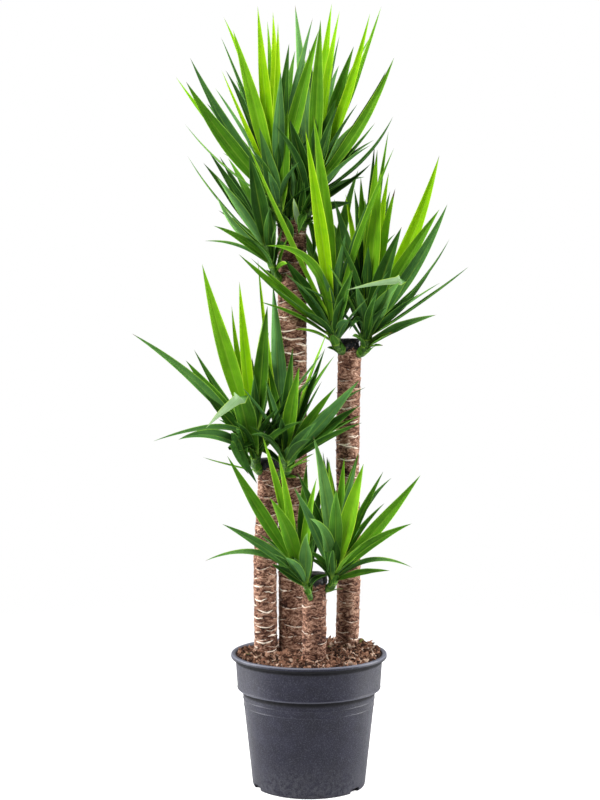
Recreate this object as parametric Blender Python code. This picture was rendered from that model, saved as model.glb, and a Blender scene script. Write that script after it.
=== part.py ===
"""A potted yucca: a nursery pot of soil with four woody canes of different height, each with
black wax on its cut top and two or three green shoots of sword-shaped leaves.

Metres, +Z up, origin in the middle of the pot's underside, front towards -Y.
"""

import math
import random

import bmesh
import bpy
from mathutils import Vector
from mathutils.bvhtree import BVHTree

# Pot
RIM_RADIUS = 0.170
POT_HEIGHT = 0.287
POT_SIDES = 32
BASE_THICKNESS = 0.0035
FOOT_NOTCH_ANGLES = (-156, -36, 84)
FOOT_NOTCH_SIZE = (0.030, 0.024, 0.014)
FOOT_NOTCH_RADIUS = 0.120
DRAIN_HOLE_RADIUS = 0.007
DRAIN_HOLE_COUNT = 6
DRAIN_HOLE_CIRCLE = 0.070

# Soil
SOIL_LEVEL = 0.276
# The soil's mound and its dip: how far each rises, its middle as (x, y), and its spread.
SOIL_MOUNDS = ((0.009, 0.100, 0.085, 0.0035), (-0.004, -0.120, 0.070, 0.0040))
CLOD_RISE = 0.0016
CLOD_WAVES = (95, 88)
SOIL_SIDES = 32
SOIL_RINGS = 4

# Every pair of touching pieces keeps this gap.
GAP = 0.0003

# Canes: name, radius, sides, and the middle line from the lower end up, as (x, y, z).
CANES = (
    ("cane_120", 0.0315, 10, ((-0.035, 0.040, 0.040), (-0.035, 0.040, 0.310), (-0.036, 0.040, 0.700),
                              (-0.037, 0.040, 1.240))),
    ("cane_90", 0.0258, 10, ((0.0780, 0.058, 0.068), (0.0855, 0.070, 0.310), (0.0895, 0.070, 0.480),
                             (0.0865, 0.070, 0.720), (0.0905, 0.070, 0.968))),
    ("cane_60", 0.0250, 10, ((-0.094, 0.012, 0.106), (-0.094, 0.012, 0.310), (-0.096, 0.012, 0.480),
                             (-0.085, 0.012, 0.706))),
    ("cane_30", 0.0255, 10, ((0.011, -0.066, 0.167), (0.011, -0.066, 0.310), (0.011, -0.066, 0.467))),
)
PLAIN_CANE_TOP = 0.315
FIRST_SCAR = 0.335
LAST_SCAR_BELOW_TOP = 0.030
SCAR_SPACING = 0.045
SCAR_HEIGHT = 0.007
SCAR_WAVE = 0.006
# How far a scar's crest stands out and the groove above it goes in, as shares of the radius.
SCAR_SHARES = (0.035, -0.021)
CANE_LOBES = 0.012
CHAMFER_HEIGHT = 0.008
CUT_TOP_SHARE = 0.97

# Wax: its height, the shares of the height and of the cane's cut top at each ring, and how
# uneven its edge is.
WAX_HEIGHT = 0.007
WAX_RINGS = ((0.0, 1.0), (0.3, 1.05), (0.8, 0.92), (1.0, 0.60))
WAX_LOBES = 0.035

# Stems
STEM_STEPS = 4
STEM_SIDES = 7
CROWN_TAPER = 0.6

# Leaves
LEAF_THICKNESS = 0.0015
LEAF_STATIONS = (0.0, 0.30, 0.66, 1.0)
ARCHED_STATIONS = (0.0, 0.20, 0.42, 0.64, 0.84, 1.0)
ARCHED_BOW = 0.12
ROOT_OFFSET = 0.62
HIGHEST_ROOT = 0.97
LOWEST_ROOT = 0.37
LOWEST_ROOT_LEAN = math.radians(110)
WIDEST_AT = 0.45
ROOT_WIDTH = 0.28
TAPER_POWER = 1.6
CHANNEL_RISE = 0.30
GOLDEN_RATIO = 0.618034
CLEARANCE = 0.0012
WIDEST_SCAR = 1.05
OUTER_START = 0.22
FILLER_SEED = 7

# The leaves are set out on a front elevation: their x and z are centimetres on the upright plane
# through the pot's middle, as they look from this point.
EYE = Vector((-0.019, -3.042, 0.914))

# Each shoot: its cane, the radius of its stem at foot and crown, the stem's middle line as
# (x, z, depth), how many rule-placed leaves fill its back, and its drawn leaves. A leaf's row is
# tip x, tip z, depth of the tip behind its root (- is towards the front), all in centimetres,
# width in millimetres, bow (+ arches over, - curves up), and how far its face is turned to the
# front (+ its upper side, - its underside). Three more numbers give a point that a bent leaf
# passes through, as x, z and depth behind the root.
SHOOTS = {
    "shoot_30_left": {
        "cane": "cane_30",
        "radii": (0.0050, 0.0085),
        "stem": ((0.5, 40.0, -8.3), (0.1, 41.4, -9.7), (-0.5, 43.0, -10.3), (-1.8, 45.8, -10.6),
                 (-3.4, 49.4, -10.6)),
        "fillers": 3,
        "filler_length": 0.26,
        "leaves": (
            (-17.8, 71.6, -4, 30, -0.03, 0.8),
            (-10.2, 76.2, -6, 27, 0.03, 0.7),
            (-6.7, 72.3, -3, 27, 0.02, 0.7),
            (-8.5, 62.4, -12, 38, 0.12, 0.8),
            (-5.0, 64.5, 1, 24, 0.00, -0.6),
            (-18.9, 56.7, -8, 25, 0.06, 0.7),
            (-22.7, 48.6, -9, 24, 0.34, 0.5),
            (-8.3, 48.0, -6, 22, 0.05, 0.8),
            (-5.2, 49.4, -12, 27, 0.10, -0.7),
            (-3.9, 49.8, -8, 22, 0.10, 0.6),
            (0.9, 53.6, -6, 27, 0.10, 0.7),
            (-2.2, 48.3, -15, 30, 0.10, 0.5, -0.9, 54.8, -9),
            (1.7, 66.8, 2, 22, 0.05, 0.6),
        ),
    },
    "shoot_30_right": {
        "cane": "cane_30",
        "radii": (0.0085, 0.0105),
        "stem": ((3.4, 42.4, -6.6), (4.9, 43.2, -7.4), (5.4, 45.4, -7.8), (6.2, 48.6, -8.0)),
        "fillers": 4,
        "filler_length": 0.27,
        "leaves": (
            (0.9, 76.1, -4, 34, 0.06, 0.8),
            (4.3, 71.1, 3, 18, 0.03, 0.3),
            (3.0, 72.6, 6, 16, 0.02, 0.2),
            (7.7, 71.2, 3, 24, 0.02, 0.6),
            (5.9, 64.3, -10, 36, 0.15, -0.8),
            (10.3, 70.7, -1, 25, 0.02, -0.5),
            (11.9, 69.9, -5, 36, 0.02, 0.8),
            (16.2, 68.2, 0, 25, -0.04, 0.6),
            (16.5, 61.3, 4, 22, 0.05, 0.5),
            (24.3, 67.4, -5, 31, -0.04, 0.8),
            (22.4, 56.8, -7, 27, 0.10, 0.7),
            (22.5, 47.2, -5, 20, 0.30, 0.6),
            (17.7, 46.5, -6, 20, 0.09, 0.6),
            (0.1, 57.9, -12, 36, 0.30, 0.7),
            (-0.6, 50.9, -3, 22, 0.20, 0.6),
            (4.1, 45.8, -12, 22, 0.10, 0.5, 4.2, 50.4, -8),
            (11.6, 52.2, -10, 15, 0.08, 0.3),
            (-3.3, 64.8, -6, 25, 0.04, -0.7),
            (-2.6, 68.1, 2, 27, 0.05, 0.6),
        ),
    },
    "shoot_60_left": {
        "cane": "cane_60",
        "radii": (0.0105, 0.0125),
        "stem": ((-10.6, 68.2, 0.2), (-11.6, 69.8, -1.4), (-11.6, 73.2, -2.0), (-11.7, 78.0, -2.0)),
        "fillers": 5,
        "filler_length": 0.28,
        "leaves": (
            (-23.2, 113.3, -6, 38, -0.03, 0.9),
            (-16.8, 104.3, 2, 25, -0.02, 0.6),
            (-15.1, 109.5, -4, 29, -0.03, 0.8),
            (-9.0, 104.2, -2, 34, 0.02, 0.8),
            (-9.7, 102.8, 2, 26, 0.02, -0.7),
            (-38.5, 98.2, -4, 29, 0.10, 0.7),
            (-26.8, 92.4, 3, 28, -0.04, 0.7),
            (-25.0, 94.7, 6, 22, -0.04, 0.6),
            (-22.0, 77.6, -12, 33, 0.10, 0.5, -15.0, 85.3, -8),
            (-34.0, 74.7, -3, 21, 0.22, 0.5),
            (-28.3, 75.1, -12, 28, 0.18, 0.7),
            (-23.1, 71.3, 0, 12, -0.04, 0.2),
            (-11.8, 65.2, -5, 26, 0.10, 0.4, -17.0, 72.2, -4),
            (-23.0, 85.3, -4, 31, 0.03, 0.7),
            (-17.1, 81.6, -10, 24, 0.05, 0.7),
            (2.3, 90.4, -9, 26, 0.02, 0.4),
            (3.2, 94.3, -7, 22, 0.02, 0.3),
            (-1.3, 79.1, -10, 24, 0.14, 0.6),
        ),
    },
    "shoot_60_right": {
        "cane": "cane_60",
        "radii": (0.0100, 0.0120),
        "stem": ((-6.5, 67.4, 0.2), (-4.9, 68.4, -1.3), (-5.2, 71.2, -2.4), (-5.8, 75.0, -3.0)),
        "fillers": 6,
        "filler_length": 0.27,
        "leaves": (
            (-3.5, 95.2, -4, 25, 0.02, 0.7),
            (-2.1, 90.9, -9, 31, 0.05, 0.8),
            (4.1, 98.9, -3, 19, 0.02, 0.3),
            (3.5, 95.0, -4, 24, -0.03, 0.5),
            (2.8, 87.8, -2, 16, 0.03, 0.2),
            (10.9, 88.0, -9, 31, -0.02, -0.8),
            (5.9, 86.6, -5, 25, 0.04, 0.7),
            (11.0, 82.5, -7, 29, 0.05, 0.8),
            (6.8, 83.3, -3, 31, 0.08, 0.7),
            (11.6, 78.8, -8, 20, 0.06, 0.6),
            (1.6, 78.9, -14, 28, 0.06, 0.8),
            (-12.7, 76.1, -9, 21, 0.20, 0.6),
            (1.1, 72.1, -5, 13, 0.04, 0.3),
            (0.6, 75.3, -16, 31, 0.06, 0.8),
            (-4.6, 73.6, -9, 27, 0.12, -0.7),
            (-1.5, 86.3, -9, 27, 0.06, 0.7),
            (-7.3, 89.0, 6, 30, 0.05, -0.6),
            (0.2, 70.6, -9, 12, 0.04, 0.3),
            (-11.1, 114.4, 2, 22, -0.01, 0.3),
            (-10.5, 96.0, -5, 28, 0.02, 0.7),
            (-7.8, 108.8, 7, 32, 0.03, -0.7),
        ),
    },
    "shoot_90_left": {
        "cane": "cane_90",
        "radii": (0.0115, 0.0125),
        "stem": ((7.4, 94.5, 5.4), (6.1, 95.7, 3.8), (5.4, 98.6, 2.7), (5.3, 103.0, 2.2)),
        "fillers": 6,
        "filler_length": 0.38,
        "leaves": (
            (-0.8, 142.2, -8, 41, 0.03, 0.9),
            (0.95, 145.3, -6, 40, 0.03, 0.9),
            (-18.8, 154.3, -13, 21, -0.04, 0.6),
            (-9.3, 117.2, -11, 32, 0.10, 0.6, 1.2, 113.8, -7),
            (-15.3, 115.4, -6, 26, -0.04, 0.6),
            (-12.6, 114.5, -2, 19, -0.02, 0.5),
            (-5.4, 114.5, -3, 33, 0.00, 0.8),
            (-10.9, 105.1, -7, 18, 0.08, 0.4),
            (-3.2, 99.1, -6, 15, 0.15, 0.4),
            (-9.6, 109.5, -4, 16, 0.02, 0.3),
            (19.9, 110.1, -9, 25, 0.10, -0.8, 8.2, 108.8, -5),
            (13.0, 106.2, -9, 15, 0.02, 0.4),
            (13.0, 127.4, -3, 25, 0.02, 0.6),
            (8.8, 100.8, -9, 24, 0.30, -0.6),
            (9.6, 112.0, -14, 28, 0.05, 0.7),
        ),
    },
    "shoot_90_right": {
        "cane": "cane_90",
        "radii": (0.0110, 0.0130),
        "stem": ((10.7, 93.8, 5.9), (12.2, 95.0, 4.6), (12.4, 98.0, 3.6), (12.4, 102.5, 3.1)),
        "fillers": 6,
        "filler_length": 0.38,
        "leaves": (
            (5.4, 127.3, -4, 31, 0.03, 0.8),
            (7.9, 128.4, 4, 21, 0.02, 0.5),
            (11.2, 132.1, 4, 29, 0.02, 0.8),
            (10.4, 124.6, -2, 21, 0.03, 0.6),
            (14.2, 139.2, 4, 23, 0.02, 0.6),
            (14.8, 138.0, -2, 31, 0.02, 0.8),
            (18.4, 138.3, 3, 27, 0.04, -0.6),
            (15.5, 133.6, -6, 35, 0.02, 0.9),
            (17.3, 133.2, 6, 25, 0.02, 0.6),
            (18.6, 127.8, 2, 32, 0.03, 0.7),
            (20.1, 121.3, -10, 35, 0.05, 0.8),
            (28.2, 136.7, -3, 35, -0.07, 0.9),
            (28.3, 125.1, -7, 37, 0.03, 0.9),
            (30.0, 126.2, -7, 33, -0.10, 0.7),
            (30.5, 118.7, -3, 19, -0.12, 0.2),
            (34.7, 112.7, -2, 19, -0.04, 0.2),
            (28.5, 109.2, -8, 16, 0.06, 0.2),
            (26.6, 112.1, -5, 25, -0.10, 0.6),
            (24.0, 106.8, -10, 21, 0.02, 0.6),
            (27.6, 102.2, -6, 24, 0.055, 0.6),
            (21.4, 99.7, 1, 13, 0.04, 0.3),
            (18.3, 98.5, -6, 16, 0.06, 0.5),
            (16.1, 95.6, -3, 12, 0.04, 0.3),
            (19.8, 109.2, -15, 38, 0.10, 0.8),
            (8.7, 98.8, -7, 19, 0.10, 0.6, 11.0, 100.9, -4),
            (4.2, 113.2, -11, 16, 0.03, 0.5),
            (14.8, 106.9, -16, 26, 0.06, 0.7),
            (5.8, 116.2, 5, 25, 0.05, -0.6),
            (17.2, 141.9, 6, 27, 0.02, 0.5),
            (9.4, 97.6, -8, 22, 0.15, 0.6),
        ),
    },
    "shoot_120_front": {
        "cane": "cane_120",
        "radii": (0.0105, 0.0125),
        "stem": ((-4.8, 120.6, 2.4), (-6.2, 123.2, -0.4), (-6.8, 127.0, -1.2), (-7.0, 132.0, -1.2)),
        "fillers": 6,
        "filler_length": 0.40,
        "leaves": (
            (-11.1, 168.8, -3, 31, -0.02, 0.8),
            (-9.0, 165.6, 4, 24, 0.02, 0.5),
            (-7.8, 167.6, 0, 29, 0.02, 0.8),
            (-6.7, 165.2, -6, 23, 0.02, 0.8),
            (-16.4, 163.6, -5, 36, 0.02, 0.9),
            (-18.4, 166.4, 2, 25, 0.03, 0.5),
            (-19.0, 162.1, -1, 21, -0.03, 0.35),
            (-18.0, 155.0, 4, 25, 0.03, 0.6),
            (-20.3, 151.2, 4, 21, 0.00, -0.4),
            (-25.7, 157.7, -3, 28, -0.08, 0.7),
            (-22.1, 147.9, -3, 28, 0.02, -0.7),
            (-14.0, 148.0, 6, 20, 0.03, 0.5),
            (-10.8, 142.7, -16, 30, 0.04, 0.8),
            (-4.3, 160.8, 4, 29, 0.02, 0.7),
            (-6.1, 154.6, -9, 29, 0.03, -0.8),
            (2.1, 163.6, -4, 33, 0.02, 0.9),
            (0.8, 166.2, 6, 27, 0.02, -0.6),
            (-3.8, 135.5, -17, 30, 0.15, 0.8),
            (-26.8, 143.4, -2, 24, -0.15, 0.5),
            (-9.4, 136.0, -18, 30, 0.08, 0.8),
            (-4.4, 116.4, -7, 18, 0.25, 0.5),
            (-1.2, 133.5, -16, 30, 0.06, 0.8),
            (-26.6, 152.6, -8, 38, -0.07, 0.9),
            (-28.8, 153.6, 2, 23, -0.06, 0.5),
        ),
    },
    "shoot_120_right": {
        "cane": "cane_120",
        "radii": (0.0105, 0.0125),
        "stem": ((-1.9, 120.8, 2.6), (-0.7, 123.4, 0.6), (0.2, 127.4, 0.2), (1.0, 132.5, 0.0)),
        "fillers": 6,
        "filler_length": 0.40,
        "leaves": (
            (18.4, 157.8, -5, 29, -0.09, 0.8),
            (16.6, 154.8, 3, 25, -0.08, 0.6),
            (15.6, 168.7, -2, 27, -0.04, 0.5),
            (13.2, 167.3, -4, 29, -0.03, 0.8),
            (9.7, 160.2, 3, 33, 0.03, 0.9),
            (6.6, 167.8, -1, 27, 0.02, 0.6),
            (4.9, 169.3, 4, 27, 0.02, 0.7),
            (2.5, 165.9, -6, 32, 0.02, 0.9),
            (6.6, 162.6, 7, 23, 0.02, -0.5),
            (5.8, 148.8, -15, 34, 0.05, 0.8),
            (9.9, 138.5, -19, 35, 0.08, 0.8),
            (14.3, 143.7, -3, 20, -0.05, 0.3),
            (18.2, 145.1, -6, 21, -0.20, 0.3),
            (13.4, 134.9, -8, 18, -0.12, 0.5),
            (10.3, 131.6, -12, 18, 0.05, 0.7),
            (9.3, 126.5, -13, 22, 0.08, 0.7),
            (7.3, 142.5, 6, 24, 0.03, -0.6),
            (-4.2, 144.5, -14, 32, 0.05, 0.9),
            (-2.3, 119.6, -9, 18, 0.20, 0.5),
            (-3.0, 169.0, 8, 30, 0.00, -0.7),
            (-3.6, 131.0, -17, 30, 0.08, 0.8),
            (-1.8, 137.0, -14, 28, 0.05, 0.7),
            (0.9, 114.5, -5, 18, 0.15, 0.5),
        ),
    },
    "shoot_120_left": {
        "cane": "cane_120",
        "radii": (0.0075, 0.0100),
        "stem": ((-5.6, 109.3, 3.0), (-7.3, 111.2, 1.2), (-8.6, 115.0, 0.2), (-9.6, 120.0, -0.2)),
        "fillers": 5,
        "filler_length": 0.34,
        "leaves": (
            (-22.7, 118.2, -3, 20, 0.20, 0.5),
            (-20.7, 121.5, -12, 24, 0.10, 0.8),
            (-19.6, 124.8, 1, 22, 0.08, 0.5),
            (-26.3, 136.6, -2, 20, -0.14, 0.35),
            (-20.0, 128.0, -6, 22, -0.20, -0.6),
            (-22.9, 135.1, -5, 26, 0.02, 0.7),
            (-20.1, 132.2, -9, 28, 0.03, -0.7),
            (-21.7, 137.5, 3, 24, 0.02, 0.6),
            (-19.4, 136.5, 6, 22, 0.02, 0.5),
            (-13.0, 137.0, -10, 32, 0.03, 0.8),
            (-4.7, 113.3, -7, 20, 0.10, 0.7),
            (-11.9, 118.0, -14, 18, 0.08, 0.6),
            (-7.0, 122.2, -9, 18, 0.08, 0.6),
        ),
    },
}

# Rule-placed leaves lean within this angle of straight back, from upright to low.
FILLER_SPREAD = math.radians(36)
FILLER_LEANS = (math.radians(14), math.radians(62))
FILLER_SHARES = (0.82, 1.0)
FILLER_WIDTHS = (0.024, 0.031)
FILLER_BOWS = (0.06, 0.18)
FILLER_FACINGS = (-0.15, 0.25)

# A rule-placed leaf that isn't clear is swung to one side, then to the other, and lowered.
FILLER_TRIES = 12
FILLER_SWING = 0.10
FILLER_DROP = 0.05

# How far behind or before its drawn place a leaf's tip may lie, in centimetres, to keep clear of the
# neighbouring shoots and canes.
DEPTH_SHIFTS = (0, -2, 2, -4, 4, -6, 6, -8, 8, -11, 11, -14, 14, -18, 18, -22)

COLOURS = {
    "pot": ((0.055, 0.057, 0.070), 0.55),
    "soil": ((0.070, 0.038, 0.022), 0.95),
    "bark": ((0.190, 0.105, 0.065), 0.85),
    "wax": ((0.012, 0.012, 0.018), 0.25),
    "leaf": ((0.080, 0.190, 0.025), 0.40),
}


def clear_scene():
    for obj in list(bpy.data.objects):
        bpy.data.objects.remove(obj)


def material(name, kind):
    colour, roughness = COLOURS[kind]
    made = bpy.data.materials.new(name + "_material")
    made.use_nodes = True
    shader = made.node_tree.nodes["Principled BSDF"]
    shader.inputs["Base Color"].default_value = (*colour, 1.0)
    shader.inputs["Roughness"].default_value = roughness
    shader.inputs["Metallic"].default_value = 0.0
    return made


def finish(bm, name, kind=None, sharp=40):
    """Turns the bmesh into a linked object, shaded smooth but for its sharp edges."""
    bmesh.ops.recalc_face_normals(bm, faces=bm.faces)
    mesh = bpy.data.meshes.new(name)
    bm.to_mesh(mesh)
    bm.free()
    mesh.shade_smooth()
    mesh.set_sharp_from_angle(angle=math.radians(sharp))
    obj = bpy.data.objects.new(name, mesh)
    bpy.context.scene.collection.objects.link(obj)
    if kind:
        mesh.materials.append(material(name, kind))
    return obj


def apply_modifiers(obj):
    """Puts the object's evaluated mesh in the place of its own and drops its modifiers."""
    graph = bpy.context.evaluated_depsgraph_get()
    mesh = bpy.data.meshes.new_from_object(obj.evaluated_get(graph))
    obj.modifiers.clear()
    obj.data = mesh


def boolean(obj, operation, other, solver="EXACT"):
    """Joins or cuts the object with another object or with a collection, then removes what it used."""
    modifier = obj.modifiers.new(operation.lower(), "BOOLEAN")
    modifier.operation = operation
    modifier.solver = solver
    if isinstance(other, bpy.types.Collection):
        modifier.operand_type = "COLLECTION"
        modifier.collection = other
        used = list(other.objects)
    else:
        modifier.object = other
        used = [other]
    bpy.context.view_layer.update()
    apply_modifiers(obj)
    for helper in used:
        bpy.data.objects.remove(helper)


def turned(profile, sides, name, kind):
    """A solid turned about Z from a closed (radius, height) profile."""
    bm = bmesh.new()
    points = [bm.verts.new((radius, 0.0, height)) for radius, height in profile]
    edges = [bm.edges.new((a, b)) for a, b in zip(points, points[1:] + points[:1])]
    bmesh.ops.spin(bm, geom=points + edges, axis=(0, 0, 1), cent=(0, 0, 0), angle=math.tau,
                   steps=sides, use_merge=True)
    bmesh.ops.remove_doubles(bm, verts=bm.verts, dist=1e-6)
    return finish(bm, name, kind)


def loft(bm, rings, pointed=False):
    """Skins closed rings of points with triangles and caps the ends; a pointed one ends in ring 0 of
    the last entry."""
    made = [[bm.verts.new(point) for point in ring] for ring in rings]
    bm.faces.new(reversed(made[0]))
    last = len(made) - 1
    for index in range(last):
        lower = made[index]
        upper = made[index + 1]
        for here in range(len(lower)):
            after = (here + 1) % len(lower)
            if pointed and index == last - 1:
                bm.faces.new((lower[here], lower[after], upper[0]))
                continue
            # The diagonal runs alike on both sides of a blade, whose edges are ring points 0 and 2.
            if here % 2 == 0:
                bm.faces.new((lower[here], lower[after], upper[after]))
                bm.faces.new((lower[here], upper[after], upper[here]))
            else:
                bm.faces.new((lower[here], lower[after], upper[here]))
                bm.faces.new((lower[after], upper[after], upper[here]))
    if not pointed:
        bm.faces.new(made[-1])


def circle(centre, side, front, radii):
    """Ring points about a centre, one for each radius."""
    count = len(radii)
    points = []
    for index, radius in enumerate(radii):
        angle = math.tau * index / count
        points.append(centre + (side * math.cos(angle) + front * math.sin(angle)) * radius)
    return points


def along(points, share):
    """The point at this share of a smooth line through the points."""
    spans = len(points) - 1
    span = min(int(share * spans), spans - 1)
    t = share * spans - span
    a = points[max(span - 1, 0)]
    b = points[span]
    c = points[span + 1]
    d = points[min(span + 2, spans)]
    return 0.5 * ((2 * b) + (c - a) * t + (2 * a - 5 * b + 4 * c - d) * t ** 2
                  + (3 * b - a - 3 * c + d) * t ** 3)


# Pot


def pot_outside():
    """The outer wall from the foot up to the rim, as (radius, height)."""
    return [
        (0.1185, 0.0), (0.1225, 0.004), (0.1440, 0.1980), (0.1452, 0.2065),
        (0.1535, 0.2092), (0.1562, 0.2140), (0.1602, 0.2752), (0.1675, 0.2765),
        (RIM_RADIUS, 0.2790), (RIM_RADIUS, 0.2845), (0.1680, POT_HEIGHT),
    ]


def pot_inside():
    """The inner wall from the rim down to the floor, as (radius, height)."""
    return [
        (0.1610, POT_HEIGHT), (0.1578, 0.2820), (0.1535, 0.2165), (0.1505, 0.2118),
        (0.1420, 0.2085), (0.1410, 0.1980), (0.1195, BASE_THICKNESS),
    ]


def make_pot():
    profile = [(0.0, 0.0)] + pot_outside() + pot_inside() + [(0.0, BASE_THICKNESS)]
    pot = turned(profile, POT_SIDES, "pot", "pot")
    cutters = bpy.data.collections.new("pot_cutters")
    bpy.context.scene.collection.children.link(cutters)
    for index in range(DRAIN_HOLE_COUNT):
        angle = math.tau * index / DRAIN_HOLE_COUNT
        bm = bmesh.new()
        bmesh.ops.create_cone(bm, cap_ends=True, segments=8, radius1=DRAIN_HOLE_RADIUS,
                              radius2=DRAIN_HOLE_RADIUS, depth=0.02)
        centre = Vector((math.cos(angle), math.sin(angle), 0.0)) * DRAIN_HOLE_CIRCLE
        bmesh.ops.translate(bm, verts=bm.verts, vec=centre)
        move_to(finish(bm, "drain_hole"), cutters)
    for degrees in FOOT_NOTCH_ANGLES:
        bm = bmesh.new()
        bmesh.ops.create_cube(bm, size=1.0)
        bmesh.ops.scale(bm, verts=bm.verts, vec=FOOT_NOTCH_SIZE)
        notch = move_to(finish(bm, "foot_notch"), cutters)
        angle = math.radians(degrees)
        notch.location = Vector((math.cos(angle), math.sin(angle), 0.0)) * FOOT_NOTCH_RADIUS
        notch.rotation_euler.z = angle
    boolean(pot, "DIFFERENCE", cutters)
    return pot


def move_to(obj, collection):
    bpy.context.scene.collection.objects.unlink(obj)
    collection.objects.link(obj)
    return obj


# Soil


def soil_height(x, y):
    """The soil's top: higher at the back right, lower at the back left, with low clods."""
    height = SOIL_LEVEL
    for rise, across, back, spread in SOIL_MOUNDS:
        height += rise * math.exp(-((x - across) ** 2 + (y - back) ** 2) / spread)
    return height + CLOD_RISE * math.sin(CLOD_WAVES[0] * x) * math.sin(CLOD_WAVES[1] * y)


def make_soil():
    """A plug that fills the pot, with a wavy top and a plain hole for each cane."""
    inside = [(radius - GAP, height) for radius, height in reversed(pot_inside())]
    wall = [(radius, height) for radius, height in inside if height < SOIL_LEVEL]
    floor = wall[0][1] + GAP
    bm = bmesh.new()
    rings = [circle(Vector((0, 0, max(height, floor))), Vector((1, 0, 0)), Vector((0, 1, 0)),
                    [radius] * SOIL_SIDES) for radius, height in wall]
    rim = wall[-1][0] + 0.0005
    for index in range(SOIL_RINGS):
        radius = rim * (1 - index / (SOIL_RINGS - 0.5))
        ring = circle(Vector(), Vector((1, 0, 0)), Vector((0, 1, 0)), [radius] * SOIL_SIDES)
        rings.append([Vector((point.x, point.y, soil_height(point.x, point.y))) for point in ring])
    loft(bm, rings)
    soil = finish(bm, "soil", "soil")
    holes = bpy.data.collections.new("cane_holes")
    bpy.context.scene.collection.children.link(holes)
    for name, radius, sides, line in CANES:
        bm = bmesh.new()
        loft(bm, cane_rings(radius, sides, line, GAP)[:2])
        move_to(finish(bm, "hole_" + name), holes)
    # The exact solver leaves this soil touching itself along an edge of a hole.
    boolean(soil, "DIFFERENCE", holes, "MANIFOLD")
    return soil


# Canes


def cane_centre(line, height):
    """The middle of the cane at a height, on a smooth line through its points."""
    lower, foot = Vector(line[0]), Vector(line[1])
    if height <= foot.z:
        return lower.lerp(foot, (height - lower.z) / (foot.z - lower.z))
    upper = [Vector(point) for point in line[1:]]
    for index in range(len(upper) - 1):
        if height <= upper[index + 1].z or index == len(upper) - 2:
            share = (height - upper[index].z) / (upper[index + 1].z - upper[index].z)
            middle = upper[index].lerp(upper[index + 1], share * share * (3 - 2 * share))
            return Vector((middle.x, middle.y, height))
    return upper[-1]


def cane_rings(radius, sides, line, grow=0.0):
    """Rings of the cane: plain where it stands in the soil, then with a low wavy leaf scar at each
    step."""
    top = line[-1][2]
    side = Vector((1, 0, 0))
    front = Vector((0, 1, 0))
    rings = [circle(cane_centre(line, height), side, front, [radius + grow] * sides)
             for height in (line[0][2] - grow, PLAIN_CANE_TOP)]
    steps = int((top - LAST_SCAR_BELOW_TOP - PLAIN_CANE_TOP) / SCAR_SPACING)
    for step in range(steps):
        crest = FIRST_SCAR + SCAR_SPACING * step
        phase = 2.4 * step
        for height, rise in zip((crest, crest + SCAR_HEIGHT), SCAR_SHARES):
            lobes = [CANE_LOBES * math.sin(3 * math.tau * index / sides + phase) for index in range(sides)]
            radii = [radius * (1 + rise + lobe) + grow for lobe in lobes]
            ring = circle(cane_centre(line, height), side, front, radii)
            for index, point in enumerate(ring):
                point.z += SCAR_WAVE * math.sin(math.tau * index / sides + phase)
            rings.append(ring)
    shoulder = cane_centre(line, top - CHAMFER_HEIGHT)
    rings.append(circle(shoulder, side, front, [radius + grow] * sides))
    rings.append(circle(cane_centre(line, top + grow), side, front, [radius * CUT_TOP_SHARE + grow] * sides))
    return rings


def make_canes():
    for name, radius, sides, line in CANES:
        bm = bmesh.new()
        loft(bm, cane_rings(radius, sides, line))
        finish(bm, name, "bark", sharp=60)


def make_wax():
    """An uneven cap of wax on each cut top."""
    for name, radius, sides, line in CANES:
        top = cane_centre(line, line[-1][2] + GAP)
        bm = bmesh.new()
        rings = []
        for lift, share in WAX_RINGS:
            centre = top + Vector((0, 0, lift * WAX_HEIGHT))
            lobes = [1 + WAX_LOBES * math.sin(2 * math.tau * index / sides + 90 * line[0][0])
                     for index in range(sides)]
            radii = [radius * CUT_TOP_SHARE * share * lobe for lobe in lobes]
            rings.append(circle(centre, Vector((1, 0, 0)), Vector((0, 1, 0)), radii))
        loft(bm, rings)
        finish(bm, "wax_seal_" + name.split("_")[1], "wax", sharp=60)


# Shoots


def seen(x, z, depth):
    """The point at a depth (centimetres behind the pot's middle) that lies behind (x, z) of the
    elevation for a viewer at EYE."""
    on_plane = Vector((x / 100, 0.0, z / 100))
    return EYE + (on_plane - EYE) * ((depth / 100 - EYE.y) / -EYE.y)


def stem_line(shoot):
    return [seen(*point) for point in shoot["stem"]]


def leaf_root(shoot, line, tip):
    """Where a leaf leaves the stem: near the top if it stands up, further down if it leans out, and
    off the middle towards its own side."""
    crown = line[-1]
    up = (crown - line[-2]).normalized()
    lean = up.angle(tip - crown)
    share = HIGHEST_ROOT - (HIGHEST_ROOT - LOWEST_ROOT) * min(lean / LOWEST_ROOT_LEAN, 1.0)
    outward = Vector((tip.x - crown.x, tip.y - crown.y, 0.0))
    foot, top = shoot["radii"]
    return along(line, share) + outward.normalized() * (foot + (top - foot) * share) * ROOT_OFFSET


def bezier(leaf, t):
    root, bend, tip = leaf
    return root * (1 - t) ** 2 + bend * (2 * t * (1 - t)) + tip * t ** 2


def bezier_direction(leaf, t):
    root, bend, tip = leaf
    return ((bend - root) * (1 - t) + (tip - bend) * t).normalized()


def bow_point(root, tip, bow):
    """The control point that arches the leaf's middle line over its chord."""
    chord = tip - root
    along_chord = chord.normalized()
    over = Vector((0, 0, 1)) - along_chord * along_chord.z
    return root + chord * 0.5 + over.normalized() * bow * chord.length


def leaf_width(t, width):
    if t < WIDEST_AT:
        return width * (ROOT_WIDTH + (1 - ROOT_WIDTH) * math.sin(math.pi / 2 * t / WIDEST_AT))
    return width * (1 - ((t - WIDEST_AT) / (1 - WIDEST_AT)) ** TAPER_POWER)


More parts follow.
